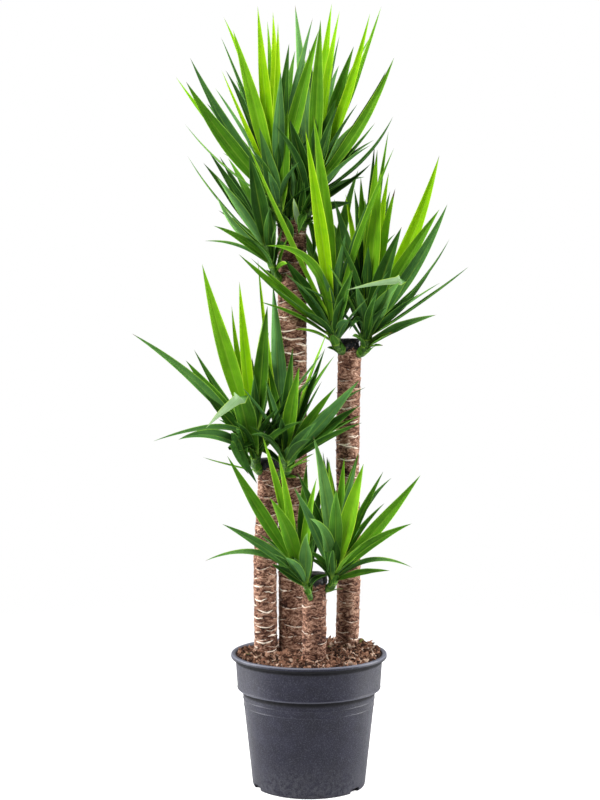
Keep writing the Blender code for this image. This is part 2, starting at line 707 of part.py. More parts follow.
def leaf_frame(leaf, t, facing):
    """The leaf's middle, width direction and upper side at t."""
    root, _, tip = leaf
    centre = bezier(leaf, t)
    direction = bezier_direction(leaf, t)
    outward = Vector((tip.x - root.x, tip.y - root.y, 0.0))
    across = Vector((0, 0, 1)).cross(outward).normalized()
    natural = direction.cross(across).normalized()
    to_viewer = (EYE - centre).normalized()
    upper = natural * (1 - abs(facing)) + to_viewer * facing
    upper = (upper - direction * upper.dot(direction)).normalized()
    return centre, direction.cross(upper).normalized(), upper


def leaf_rings(leaf, width, facing, grow=0.0, start=0.0):
    """Four-sided rings of a channelled blade: edge, middle of the upper side, edge, underside."""
    arched = (leaf[1] - (leaf[0] + leaf[2]) / 2).length > ARCHED_BOW * (leaf[2] - leaf[0]).length
    rings = []
    for station in ARCHED_STATIONS if arched else LEAF_STATIONS:
        t = start + (1 - start) * station
        centre, across, upper = leaf_frame(leaf, t, facing)
        half = leaf_width(t, width) / 2 + grow
        rise = half * CHANNEL_RISE
        rings.append([
            centre - across * half + upper * rise,
            centre + upper * grow,
            centre + across * half + upper * rise,
            centre - upper * (LEAF_THICKNESS + grow),
        ])
    return rings


def apart(one, other):
    """True if the two boxed surfaces don't cross."""
    tree, low, high = one
    other_tree, other_low, other_high = other
    if any(low[axis] > other_high[axis] or high[axis] < other_low[axis] for axis in range(3)):
        return True
    return not tree.overlap(other_tree)


def boxed_tree(rings, pointed=False):
    """A surface for finding what crosses it, with the corners of its box."""
    bm = bmesh.new()
    loft(bm, rings, pointed)
    bmesh.ops.triangulate(bm, faces=bm.faces)
    tree = BVHTree.FromBMesh(bm)
    points = [vertex.co.copy() for vertex in bm.verts]
    bm.free()
    low = Vector([min(point[axis] for point in points) for axis in range(3)])
    high = Vector([max(point[axis] for point in points) for axis in range(3)])
    return tree, low, high


def stem_rings(shoot, grow=0.0):
    line = stem_line(shoot)
    foot, crown = shoot["radii"]
    rings = []
    for step in range(STEM_STEPS + 1):
        share = step / STEM_STEPS
        centre = along(line, share)
        ahead = along(line, min(share + 0.05, 1.0)) - along(line, max(share - 0.05, 0.0))
        direction = ahead.normalized()
        side = direction.cross(Vector((0, 1, 0))).normalized()
        radius = foot + (crown - foot) * share + grow
        if step == STEM_STEPS:
            radius *= CROWN_TAPER
        rings.append(circle(centre, side, direction.cross(side), [radius] * STEM_SIDES))
    return rings


def drawn_leaves(shoot, line, _):
    """The leaves of the elevation, each as a list of placings to try in turn."""
    for row in shoot["leaves"]:
        x, z, depth, width, bow, facing = row[:6]
        tries = []
        for shift in DEPTH_SHIFTS:
            guess = seen(x, z, 0.0)
            root = leaf_root(shoot, line, guess)
            tip = seen(x, z, root.y * 100 + depth + shift)
            root = leaf_root(shoot, line, tip)
            if len(row) > 6:
                via = seen(row[6], row[7], root.y * 100 + row[8] + shift / 2)
                bend = via * 2 - (root + tip) / 2
            else:
                bend = bow_point(root, tip, bow)
            tries.append((root, bend, tip))
        yield tries, width / 1000, facing


def filler_leaves(shoot, line, draw):
    """Leaves for the back of the shoot, spread by the golden ratio."""
    crown = line[-1]
    count = shoot["fillers"]
    for index in range(count):
        turn = (index * GOLDEN_RATIO) % 1.0 * 2 - 1
        lean = FILLER_LEANS[0] + (FILLER_LEANS[1] - FILLER_LEANS[0]) * (index + 0.5) / count
        length = shoot["filler_length"] * draw.uniform(*FILLER_SHARES)
        width = draw.uniform(*FILLER_WIDTHS)
        bow = draw.uniform(*FILLER_BOWS)
        facing = draw.uniform(*FILLER_FACINGS)
        tries = []
        for shift in range(FILLER_TRIES):
            azimuth = math.pi / 2 + FILLER_SPREAD * turn + FILLER_SWING * shift * (-1) ** shift
            tilt = lean + FILLER_DROP * shift
            reach = Vector((math.cos(azimuth) * math.sin(tilt), math.sin(azimuth) * math.sin(tilt),
                            math.cos(tilt))) * length
            tip = crown + reach
            root = leaf_root(shoot, line, tip)
            tries.append((root, bow_point(root, tip, bow), tip))
        yield tries, width, facing


def place_leaves():
    """Settles every leaf: of its placings that cross no cane and no other shoot, the first whose outer
    part is clear of its own shoot's leaves, or else the one that crosses the fewest of them. A leaf
    with no such placing is left out."""
    draw = random.Random(FILLER_SEED)
    lines = {name: stem_line(shoot) for name, shoot in SHOOTS.items()}
    canes = [boxed_tree(cane_rings(radius * WIDEST_SCAR, sides, line, CLEARANCE))
             for _, radius, sides, line in CANES]
    stems = {name: boxed_tree(stem_rings(shoot, CLEARANCE)) for name, shoot in SHOOTS.items()}
    placed = {name: [] for name in SHOOTS}
    surfaces = {name: [] for name in SHOOTS}
    outer_parts = {name: [] for name in SHOOTS}
    for source in (drawn_leaves, filler_leaves):
        for name, shoot in SHOOTS.items():
            others = list(canes)
            for other in SHOOTS:
                if other != name:
                    others += [stems[other]] + surfaces[other]
            for tries, width, facing in source(shoot, lines[name], draw):
                best = None
                for leaf in tries:
                    surface = boxed_tree(leaf_rings(leaf, width, facing, CLEARANCE), pointed=True)
                    if not all(apart(surface, other) for other in others):
                        continue
                    outer = boxed_tree(leaf_rings(leaf, width, facing, 0.0, OUTER_START), pointed=True)
                    crossed = sum(not apart(outer, other) for other in outer_parts[name])
                    if best is None or crossed < best[0]:
                        best = crossed, leaf, surface, outer
                    if crossed == 0:
                        break
                if best is None:
                    continue
                placed[name].append((best[1], width, facing))
                surfaces[name].append(best[2])
                outer_parts[name].append(best[3])
    return placed


def islands(bm):
    """The bmesh's separate closed surfaces, as lists of faces."""
    bm.faces.ensure_lookup_table()
    waiting = set(bm.faces)
    found = []
    while waiting:
        group = [waiting.pop()]
        for face in group:
            for edge in face.edges:
                for neighbour in edge.link_faces:
                    if neighbour in waiting:
                        waiting.remove(neighbour)
                        group.append(neighbour)
        found.append(group)
    return found


def signed_volume(faces):
    total = 0.0
    for face in faces:
        first = face.verts[0].co
        for one, two in zip(face.verts[1:-1], face.verts[2:]):
            total += first.dot(one.co.cross(two.co)) / 6
    return total


def keep_main_body(obj):
    """Fills hollows that fusing has sealed and drops loose scraps: only the outer surface stays."""
    bm = bmesh.new()
    bm.from_mesh(obj.data)
    groups = sorted(islands(bm), key=signed_volume)
    for group in groups[:-1]:
        bmesh.ops.delete(bm, geom=group, context="FACES")
    bm.to_mesh(obj.data)
    bm.free()


def make_shoot(name, shoot, leaves):
    """The stem with its leaves fused on, cut back from its cane."""
    bm = bmesh.new()
    loft(bm, stem_rings(shoot))
    obj = finish(bm, name, "leaf")
    blades = bpy.data.collections.new(name + "_leaves")
    bpy.context.scene.collection.children.link(blades)
    for leaf, width, facing in leaves:
        bm = bmesh.new()
        loft(bm, leaf_rings(leaf, width, facing), pointed=True)
        move_to(finish(bm, "leaf"), blades)
    boolean(obj, "UNION", blades)
    for cane, radius, sides, line in CANES:
        if cane == shoot["cane"]:
            bm = bmesh.new()
            loft(bm, cane_rings(radius, sides, line, GAP))
            boolean(obj, "DIFFERENCE", finish(bm, "cane_cutter"))
    keep_main_body(obj)
    return obj


def main():
    clear_scene()
    make_pot()
    make_soil()
    make_canes()
    make_wax()
    placed = place_leaves()
    for name, shoot in SHOOTS.items():
        make_shoot(name, shoot, placed[name])


main()
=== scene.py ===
# %% [markdown]
# # A potted yucca, dressed in Blender
# The plain solids of this plant are already packed: a nursery pot of soil, four woody canes of
# stepped height with black wax on their cut tops, and nine shoots of sword-shaped leaves. This
# lesson gives each of them its real surface. Every solid is replaced by a finer piece that stands
# in the same place, so first the imported solids are loaded.

# %% Load the solids
import math
import random

import bmesh
import bpy
from mathutils import Matrix, Quaternion, Vector, noise


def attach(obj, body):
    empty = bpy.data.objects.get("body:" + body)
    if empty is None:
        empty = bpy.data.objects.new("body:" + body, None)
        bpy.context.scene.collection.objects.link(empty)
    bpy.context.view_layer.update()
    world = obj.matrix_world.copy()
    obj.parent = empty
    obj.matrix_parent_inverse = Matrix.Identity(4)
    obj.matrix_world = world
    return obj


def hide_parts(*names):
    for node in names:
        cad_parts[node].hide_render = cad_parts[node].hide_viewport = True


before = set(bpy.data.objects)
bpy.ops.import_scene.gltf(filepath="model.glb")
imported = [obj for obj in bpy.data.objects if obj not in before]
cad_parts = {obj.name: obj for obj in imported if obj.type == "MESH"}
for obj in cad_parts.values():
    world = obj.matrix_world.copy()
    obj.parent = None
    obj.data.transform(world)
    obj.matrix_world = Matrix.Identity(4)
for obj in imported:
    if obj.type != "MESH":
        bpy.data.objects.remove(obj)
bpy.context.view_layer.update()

# %% [markdown]
# ## Where the photographer stood
# The plant was photographed with a long lens from three metres in front, at about half its height,
# with the camera tipped down by about a degree and a half. A vertical sensor fit keeps the height of
# the picture, so the plant fills an upright frame. The leaves below are set out on the elevation
# that this camera sees, so its place is defined first.

# %% Camera
EYE = Vector((-0.0195, -3.042, 0.914))
CAMERA_TIP = 0.0252


def new_object(name, data):
    """Adds an object with this data to the scene."""
    made = bpy.data.objects.new(name, data)
    bpy.context.scene.collection.objects.link(made)
    return made


camera_data = bpy.data.cameras.new("front_camera")
camera_data.lens = 63.0
camera_data.sensor_fit = "VERTICAL"
camera_data.sensor_height = 36.0
camera = new_object("front_camera", camera_data)
camera.location = EYE
camera.rotation_euler = (math.pi / 2 - CAMERA_TIP, 0.0, 0.0)
bpy.context.scene.camera = camera
print("camera at", tuple(camera.location))

# %% [markdown]
# ## Two ways to make a surface
# Bark, stems and wax are skins that wrap round something, and leaves, bark flakes and leaf scars
# are thin blades. Both can start as a flat grid whose points are then moved. A skin is one grid,
# rolled up and merged along its seam. A blade is two grids, an upper and a lower side, which meet
# along their border, so it is closed and has a real thickness in its middle. The grid brings its
# own UV map, in which u runs across and v along, so patterns can follow the surface.

# %% Grids, skins and blades
SHARP_EDGE = math.radians(60)


def start_mesh(*values):
    """An empty bmesh with a UV map, and with one number on each point for each name."""
    bm = bmesh.new()
    bm.loops.layers.uv.new("surface")
    return bm, [bm.verts.layers.float.new(name) for name in values]


def grid(bm, columns, rows):
    """A new grid's points, each with its place across (u) and along (v), from 0 to 1."""
    verts = bmesh.ops.create_grid(bm, x_segments=columns, y_segments=rows, size=0.5,
                                  calc_uvs=True)["verts"]
    return [(vert, round(vert.co.x + 0.5, 6), round(vert.co.y + 0.5, 6)) for vert in verts]


def faces_of(points):
    return list({face for vert, _, _ in points for face in vert.link_faces})


def skin(bm, columns, rows, place, layers, material=0):
    """A wrapped surface: place(u, v) gives a point and its values, and u = 0 meets u = 1."""
    points = grid(bm, columns, rows)
    for face in faces_of(points):
        face.material_index = material
    for vert, u, v in points:
        vert.co, values = place(u % 1.0, v)
        for layer, value in zip(layers, values):
            vert[layer] = value
    bmesh.ops.remove_doubles(bm, verts=[vert for vert, _, _ in points], dist=1e-6)


def between_ends(v, rows):
    """The share along a skin whose first and last rows only close its two ends."""
    return min(max((v * rows - 1) / (rows - 2), 0.0), 1.0)


def blade(bm, columns, rows, place, thickness, layers, materials=(0, 0)):
    """A thin closed shape: place(u, v) gives a point, the direction of its thickness, its values."""
    made = []
    for side, material in enumerate(materials):
        points = grid(bm, columns, rows)
        faces = faces_of(points)
        for face in faces:
            face.material_index = material
        for vert, u, v in points:
            point, up, values = place(u, v)
            inner = 4 * u * (1 - u) * min(1.0, 6 * v, 6 * (1 - v))
            vert.co = point - up * (thickness * inner * side)
            for layer, value in zip(layers, values):
                vert[layer] = value
        if side:
            bmesh.ops.reverse_faces(bm, faces=faces)
        made += [vert for vert, _, _ in points]
    bmesh.ops.remove_doubles(bm, verts=made, dist=1e-6)


def as_mesh(bm, name):
    """Turns the bmesh into a mesh of this name and frees it."""
    mesh = bpy.data.meshes.new(name)
    bm.to_mesh(mesh)
    bm.free()
    return mesh


def keep_piece(bm, name, materials, slot, *nodes):
    """Turns the bmesh into a piece of the plant that stands for these solids."""
    mesh = as_mesh(bm, name)
    mesh.shade_smooth()
    mesh.set_sharp_from_angle(angle=SHARP_EDGE)
    for material in materials:
        mesh.materials.append(material)
    piece = new_object(name, mesh)
    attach(piece, "root")
    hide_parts(*nodes)
    print(name, "has", len(mesh.polygons), "faces")
    return piece


def ease(share):
    """A smooth step from 0 to 1."""
    share = min(max(share, 0.0), 1.0)
    return share * share * (3 - 2 * share)


def outwards(angle):
    """The level direction at this angle about Z."""
    return Vector((math.cos(angle), math.sin(angle), 0.0))


# %% [markdown]
# ## Short words for shader nodes
# A material is a small network of nodes. A few helpers keep the networks below readable: they add a
# node and fill its sockets, do arithmetic, and blend colours. A number or colour that is the same
# all over a surface is set on the shader's own socket.

# %% Node helpers
def node(tree, kind, sockets=None, **settings):
    """Adds a shader node; a socket takes a plain value or another node's output."""
    made = tree.nodes.new("ShaderNode" + kind)
    for name, value in settings.items():
        setattr(made, name, value)
    fill_sockets(tree, made, sockets or {})
    return made


def fill_sockets(tree, made, sockets):
    for name, value in sockets.items():
        if isinstance(value, bpy.types.NodeSocket):
            tree.links.new(value, made.inputs[name])
        else:
            made.inputs[name].default_value = value


def calc(tree, operation, *values):
    return node(tree, "Math", dict(enumerate(values)), operation=operation).outputs[0]


def times(tree, one, other):
    return calc(tree, "MULTIPLY", one, other)


def scaled(tree, value, factor, offset):
    return calc(tree, "MULTIPLY_ADD", value, factor, offset)


def blend_colours(tree, share, one, other):
    return node(tree, "Mix", {0: share, 6: one, 7: other}, data_type="RGBA").outputs[2]


def rise(tree, value, start, end):
    """A smooth step of the value from 0 at start to 1 at end."""
    return node(tree, "MapRange", {"Value": value, "From Min": start, "From Max": end},
                interpolation_type="SMOOTHSTEP").outputs[0]


def ramp(tree, value, *stops):
    """A colour ramp through (place, colour) stops."""
    made = node(tree, "ValToRGB", {0: value})
    elements = made.color_ramp.elements
    while len(elements) < len(stops):
        elements.new(0.5)
    for element, (place, colour) in zip(elements, stops):
        element.position = place
        element.color = (*colour, 1.0)
    return made.outputs[0]


def attribute(tree, name):
    return node(tree, "Attribute", attribute_name=name).outputs["Fac"]


def new_group(name, inputs, outputs):
    """A node group with float and vector inputs and float outputs, and its two ends."""
    tree = bpy.data.node_groups.new(name, "ShaderNodeTree")
    for label, default in inputs.items():
        kind = "NodeSocketVector" if default is None else "NodeSocketFloat"
        socket = tree.interface.new_socket(label, in_out="INPUT", socket_type=kind)
        if default is not None:
            socket.default_value = default
    for label in outputs:
        tree.interface.new_socket(label, in_out="OUTPUT", socket_type="NodeSocketFloat")
    return tree, tree.nodes.new("NodeGroupInput").outputs, tree.nodes.new("NodeGroupOutput").inputs


def use_group(tree, group, sockets):
    made = tree.nodes.new("ShaderNodeGroup")
    made.node_tree = group
    fill_sockets(tree, made, sockets)
    return made.outputs


def new_material(name, **shader_values):
    """A material, its tree and its Principled shader with constant values on its own sockets."""
    material = bpy.data.materials.new(name)
    material.use_nodes = True
    tree = material.node_tree
    shader = tree.nodes["Principled BSDF"]
    for label, value in shader_values.items():
        shader.inputs[label.replace("_", " ")].default_value = value
    return material, tree, shader.inputs


def surface_finish(tree, shader, colour, roughness, height, depth):
    """Feeds the shader its colour and roughness, and a bump of this height and depth in metres."""
    tree.links.new(colour, shader["Base Color"])
    tree.links.new(roughness, shader["Roughness"])
    bump = node(tree, "Bump", {"Height": height, "Distance": depth, "Strength": 1.0})
    tree.links.new(bump.outputs[0], shader["Normal"])


# %% [markdown]
# ## One grain for many surfaces
# Moulded plastic, bark, wax, soil and stems all vary from place to place, in broad patches and in
# a fine grain. That effect is built once, as a node group with a scale and a distortion, and each
# material uses it with its own values.

# %% Grain group
grain, grain_in, grain_out = new_group("grain", {"Vector": None, "Scale": 50.0, "Distortion": 0.0},
                                       ("Broad", "Fine"))
FINE_TO_BROAD = 4.7
for label, factor, detail in (("Broad", 1.0, 3.0), ("Fine", FINE_TO_BROAD, 4.0)):
    frequency = times(grain, grain_in["Scale"], factor)
    texture = node(grain, "TexNoise", {
        "Vector": grain_in["Vector"], "Scale": frequency, "Detail": detail, "Roughness": 0.6,
        "Distortion": grain_in["Distortion"]})
    grain.links.new(rise(grain, texture.outputs["Fac"], 0.32, 0.68), grain_out[label])
print("grain group with", len(grain.nodes), "nodes")


def on_object(tree):
    return node(tree, "TexCoord").outputs["Object"]


def object_axes(tree):
    """The place on the object along X, Y and Z."""
    return node(tree, "SeparateXYZ", {0: on_object(tree)}).outputs


def grain_on_object(tree, scale, distortion=0.0, squeeze=(1.0, 1.0, 1.0)):
    """The grain by the place on the object, which may be squeezed along its axes."""
    place = node(tree, "Mapping", {"Vector": on_object(tree), "Scale": squeeze}).outputs[0]
    return use_group(tree, grain, {"Vector": place, "Scale": scale, "Distortion": distortion})


# %% [markdown]
# ## The nursery pot
# The real pot is injection-moulded from grey-blue plastic: a rolled rim, a straight collar, a step
# that lets empty pots nest, two fine lines under it and a tapered wall. It could be drawn as a
# curve with a Screw modifier. Here its outline is a chain of points, a vertex bevel rounds each
# corner, and one full spin turns it into a shell with a merged seam. Small drain notches and holes
# are cut by Booleans that are applied at once.

# %% Pot outline
RIM_RADIUS = 0.170
POT_HEIGHT = 0.287
POT_STEPS = 160
LINE_RISE = 0.0008
LINE_HALF = 0.0016
LINE_HEIGHTS = (0.1752, 0.1901)
POT_FLOOR = 0.0035
# The cutters of the drain notches (through the wall, along it and up) and of the drain holes.
NOTCH_ANGLES = (-155, -37, 84)
NOTCH_SIZE = (0.024, 0.030, 0.020)
NOTCH_PLACE = (0.1245, 0.0, 0.0)
HOLES = 6
HOLE_RADIUS = 0.007
HOLE_DEPTH = 0.02
HOLE_CIRCLE = 0.070
CUT_SHARP_EDGE = math.radians(40)
# Each corner of the wall as (radius, height, how far its rounding reaches).
POT_OUTSIDE = (
    (0.1190, 0.0000, 0.0008), (0.1220, 0.0012, 0.0010), (0.1230, 0.0060, 0.0020),
    (0.1418, LINE_HEIGHTS[0] - LINE_HALF, 0.0003), (0.1418 + LINE_RISE, LINE_HEIGHTS[0], 0.0003),
    (0.1419, LINE_HEIGHTS[0] + LINE_HALF, 0.0003), (0.1433, LINE_HEIGHTS[1] - LINE_HALF, 0.0003),
    (0.1433 + LINE_RISE, LINE_HEIGHTS[1], 0.0003), (0.1435, LINE_HEIGHTS[1] + LINE_HALF, 0.0003),
    (0.1449, 0.2078, 0.0015), (0.1545, 0.2098, 0.0022), (0.1568, 0.2127, 0.0010),
    (0.1562, 0.2165, 0.0008), (0.1600, 0.2745, 0.0010), (0.1622, 0.2775, 0.0008),
    (0.1682, 0.2768, 0.0018), (RIM_RADIUS, 0.2800, 0.0014), (RIM_RADIUS, 0.2850, 0.0014),
    (0.1685, POT_HEIGHT, 0.0012),
)
POT_INSIDE = (
    (0.1606, POT_HEIGHT - 0.0004, 0.0018), (0.1578, 0.2800, 0.0020), (0.1535, 0.2165, 0.0012),
    (0.1505, 0.2118, 0.0012), (0.1420, 0.2085, 0.0012), (0.1410, 0.1980, 0.0012),
    (0.1195, POT_FLOOR, 0.0012),
)


def chain(bm, corners):
    """A chain of points and edges on the axis plane."""
    verts = [bm.verts.new((radius, 0.0, height)) for radius, height, _ in corners]
    for one, other in zip(verts, verts[1:]):
        bm.edges.new((one, other))
    return verts


def round_corners(bm, verts, corners):
    """Rounds each corner of the chain but its two ends."""
    for vert, (_, _, reach) in zip(verts[1:-1], corners[1:-1]):
        bmesh.ops.bevel(bm, geom=[vert], offset=reach, offset_type="OFFSET", segments=3,
                        profile=0.5, affect="VERTICES", material=-1, clamp_overlap=True)


def turn(bm, steps):
    """Spins the outline a full turn about Z, merges its seam and poles and turns its faces out."""
    bmesh.ops.spin(bm, geom=list(bm.verts) + list(bm.edges), axis=(0, 0, 1), cent=(0, 0, 0),
                   angle=math.tau, steps=steps, use_merge=True)
    bmesh.ops.remove_doubles(bm, verts=bm.verts, dist=1e-6)
    bmesh.ops.recalc_face_normals(bm, faces=bm.faces)


def cut_away(piece, cutters):
    """Cuts the solids of the bmesh out of the piece and applies the cut."""
    helper = new_object("cutters", as_mesh(cutters, "cutters"))
    modifier = piece.modifiers.new("cut", "BOOLEAN")
    modifier.operation = "DIFFERENCE"
    modifier.solver = "EXACT"
    modifier.object = helper
    graph = bpy.context.evaluated_depsgraph_get()
    cut = bpy.data.meshes.new_from_object(piece.evaluated_get(graph))
    piece.modifiers.clear()
    piece.data = cut
    bpy.data.objects.remove(helper)
    cut.set_sharp_from_angle(angle=CUT_SHARP_EDGE)
    print(piece.name, "after the cuts:", len(cut.polygons), "faces")


# %% [markdown]
# ## The pot's plastic
# Dark slate plastic with a fine sparkle in the moulding and a faint haze of dust towards the foot.
# The corners under the step and the rim are darkened with painted shade, and the rim's top edge,
# the step's edge and the two fine lines are lightened with a painted highlight. It is matte, so the
# shading from the lamps at both sides does most of the work, and only small changes of colour and
# roughness break it up.

# %% Plastic
PLASTIC_DARK = (0.0066, 0.0066, 0.0150, 1)
PLASTIC_LIGHT = (0.0104, 0.0105, 0.0225, 1)
PALE_SPECK_AND_HIGHLIGHT = (0.150, 0.155, 0.195, 1)
DUSTY = (0.080, 0.080, 0.092, 1)
# Raised edges lightened with a painted highlight: height, reach and share of the two lines and the step.
HIGHLIGHT_LINES = ((LINE_HEIGHTS[0], 0.0016, 0.05), (LINE_HEIGHTS[1], 0.0016, 0.05), (0.2124, 0.0020, 0.42))
# The corners under the step and under the rim, darkened as painted shade: lowest, darkest and highest
# height.
SHADED_CORNERS = ((0.1960, 0.2040, 0.2108), (0.2675, 0.2715, 0.2812))
PAINTED_SHADE = (0.0030, 0.0030, 0.0045, 1)
plastic, tree, shader = new_material("slate_plastic", IOR=1.48, Specular_IOR_Level=0.27)
patches = grain_on_object(tree, 26.0)
specks = grain_on_object(tree, 420.0)
colour = blend_colours(tree, patches["Broad"], PLASTIC_DARK, PLASTIC_LIGHT)
sparkle = rise(tree, specks["Broad"], 0.55, 1.0)
colour = blend_colours(tree, times(tree, sparkle, 0.15), colour, PALE_SPECK_AND_HIGHLIGHT)
level = object_axes(tree)["Z"]
dust = times(tree, rise(tree, level, 0.10, 0.0), patches["Fine"])
colour = blend_colours(tree, times(tree, dust, 0.45), colour, DUSTY)
# Painted highlight: the rim's top edge, the step's edge and the two fine lines are lightened where they
# catch the light.
painted_highlight = rise(tree, level, 0.2832, 0.2862)
for height, reach, share in HIGHLIGHT_LINES:
    away = calc(tree, "ABSOLUTE", calc(tree, "SUBTRACT", level, height))
    line = times(tree, rise(tree, away, reach, reach * 0.4), share)
    painted_highlight = calc(tree, "MAXIMUM", painted_highlight, line)
colour = blend_colours(tree, times(tree, painted_highlight, 0.75), colour, PALE_SPECK_AND_HIGHLIGHT)
# Painted shade in the corners under the step and the rim, which are also made rougher there.
painted_shade = 0.0
for low, full, high in SHADED_CORNERS:
    inside = times(tree, rise(tree, level, low, full), rise(tree, level, high, high - 0.0012))
    painted_shade = calc(tree, "MAXIMUM", painted_shade, inside)
colour = blend_colours(tree, times(tree, painted_shade, 0.92), colour, PAINTED_SHADE)
roughness = scaled(tree, patches["Fine"], 0.10, 0.38)
roughness = scaled(tree, painted_shade, 0.40, roughness)
surface_finish(tree, shader, colour, roughness, specks["Broad"], 0.00012)

# %% Turn the pot
bm, _ = start_mesh()
corners = ((0.0, 0.0, 0.0),) + POT_OUTSIDE + POT_INSIDE + ((0.0, POT_FLOOR, 0.0),)
round_corners(bm, chain(bm, corners), corners)
turn(bm, POT_STEPS)
pot = keep_piece(bm, "nursery_pot", [plastic], "pot", "pot")

# %% Cut its notches and drain holes
bm, _ = start_mesh()
for degrees in NOTCH_ANGLES:
    turned = Matrix.Rotation(math.radians(degrees), 4, "Z")
    cube = bmesh.ops.create_cube(bm, size=1.0)["verts"]
    bmesh.ops.scale(bm, verts=cube, vec=NOTCH_SIZE)
    bmesh.ops.translate(bm, verts=cube, vec=NOTCH_PLACE)
    bmesh.ops.transform(bm, matrix=turned, verts=cube)
for index in range(HOLES):
    at = Matrix.Translation(outwards(math.tau * index / HOLES) * HOLE_CIRCLE)
    bmesh.ops.create_cone(bm, cap_ends=True, segments=20, radius1=HOLE_RADIUS, radius2=HOLE_RADIUS,
                          depth=HOLE_DEPTH, matrix=at)
cut_away(pot, bm)

# %% [markdown]
# ## The potting mix
# The pot is filled with coir and chopped bark almost to its rim, a little higher at the back
# right. A plug gives the body of it: its outline is spun like the pot's and only the points of its
# top are moved. On it lie more than two thousand small lumps, each a 20-sided sphere that is
# stretched, roughened and turned its own way. A particle system could scatter them, but plain
# meshes keep each lump in the model.

# %% Soil shape
SOIL_LEVEL = 0.2825
# Each rise or dip of the mix: how high, where across and where back, and its spread.
SOIL_MOUNDS = ((0.010, 0.105, 0.085, 0.0040), (0.004, 0.130, 0.000, 0.0030),
               (-0.006, -0.100, 0.100, 0.0040), (0.003, -0.140, -0.020, 0.0040))
SOIL_STEPS = 120
SOIL_RINGS = 44
SOIL_RADIUS = 0.1582
WALL_GAP = 0.0004
PLUG_FOOT = [(0.0, 0.0039, 0.0), (0.1070, 0.0039, 0.0), (0.1206, 0.0180, 0.0)]


def soil_height(x, y):
    """The top of the mix: its mounds at both sides, its dip at the back left, and its crumbs."""
    height = SOIL_LEVEL
    for lift, across, back, spread in SOIL_MOUNDS:
        height += lift * math.exp(-((x - across) ** 2 + (y - back) ** 2) / spread)
    height += 0.0022 * noise.noise(Vector((x, y, 0.0)) * 70)
    return height + 0.0016 * noise.noise(Vector((x, y, 3.0)) * 210)


# %% Soil material
mix, tree, shader = new_material("potting_mix", IOR=1.45, Specular_IOR_Level=0.25)
crumbs = grain_on_object(tree, 160.0, 0.6)
shade = attribute(tree, "shade")
shade = calc(tree, "ADD", shade, scaled(tree, crumbs["Fine"], 0.30, -0.15))
colour = ramp(tree, shade, (0.0, (0.022, 0.010, 0.006)), (0.35, (0.115, 0.048, 0.027)),
              (0.65, (0.340, 0.165, 0.100)), (0.90, (0.520, 0.310, 0.210)), (1.0, (0.72, 0.56, 0.44)))
colour = blend_colours(tree, attribute(tree, "moss"), colour, (0.150, 0.240, 0.045, 1))
roughness = scaled(tree, crumbs["Broad"], 0.15, 0.80)
surface_finish(tree, shader, colour, roughness, crumbs["Fine"], 0.0012)

# %% Fill the pot
bm, (shade_layer, moss_layer) = start_mesh("shade", "moss")
wall = [(radius - WALL_GAP, height, 0.0) for radius, height, _ in reversed(POT_INSIDE[2:-1])]
top = [(SOIL_RADIUS * (1 - ring / SOIL_RINGS), SOIL_LEVEL, 0.0) for ring in range(SOIL_RINGS)]
chain(bm, PLUG_FOOT + wall + top + [(0.0, SOIL_LEVEL, 0.0)])
turn(bm, SOIL_STEPS)
for vert in bm.verts:
    if vert.co.z > SOIL_LEVEL - 0.001:
        vert.co.z = soil_height(vert.co.x, vert.co.y)
    # Painted shade: the top of the plug is near-black, as shade in the gaps between the lumps, and below 2
    # cm it is blacker still, as shade inside the pot behind the drain notches.
    vert[shade_layer] = (0.00 if vert.co.z > 0.02 else -0.30) + 0.2 * noise.noise(vert.co * 150)

# %% Scatter lumps of coir and bark
SOIL_SEED = 31
LUMPS = 2900
BATCH = 100
SCATTER_RADIUS = 0.1565
LUMP_SIZES = (0.0017, 0.0021, 0.0026, 0.0031, 0.0037, 0.0047)
LUMP_SHADES = (0.02, 0.12, 0.24, 0.36, 0.46, 0.54, 0.61, 0.69, 0.79, 0.95)
MOSSY_SHARE = 0.006
# Lumps that would reach beyond this radius are drawn in a little, away from the wall.
LUMP_LIMIT = 0.153
DRAWN_IN = 0.985
# Where no lump may lie, for a cane stands there: across, back and reach.
CANE_FEET = ((-0.035, 0.040, 0.031), (0.0855, 0.070, 0.025), (-0.094, 0.012, 0.0245),
             (0.011, -0.066, 0.0250))


def pour(batch, into):
    """Moves a small mesh into the big one; small meshes keep each operator quick."""
    mesh = as_mesh(batch, "batch")
    into.from_mesh(mesh)
    bpy.data.meshes.remove(mesh)


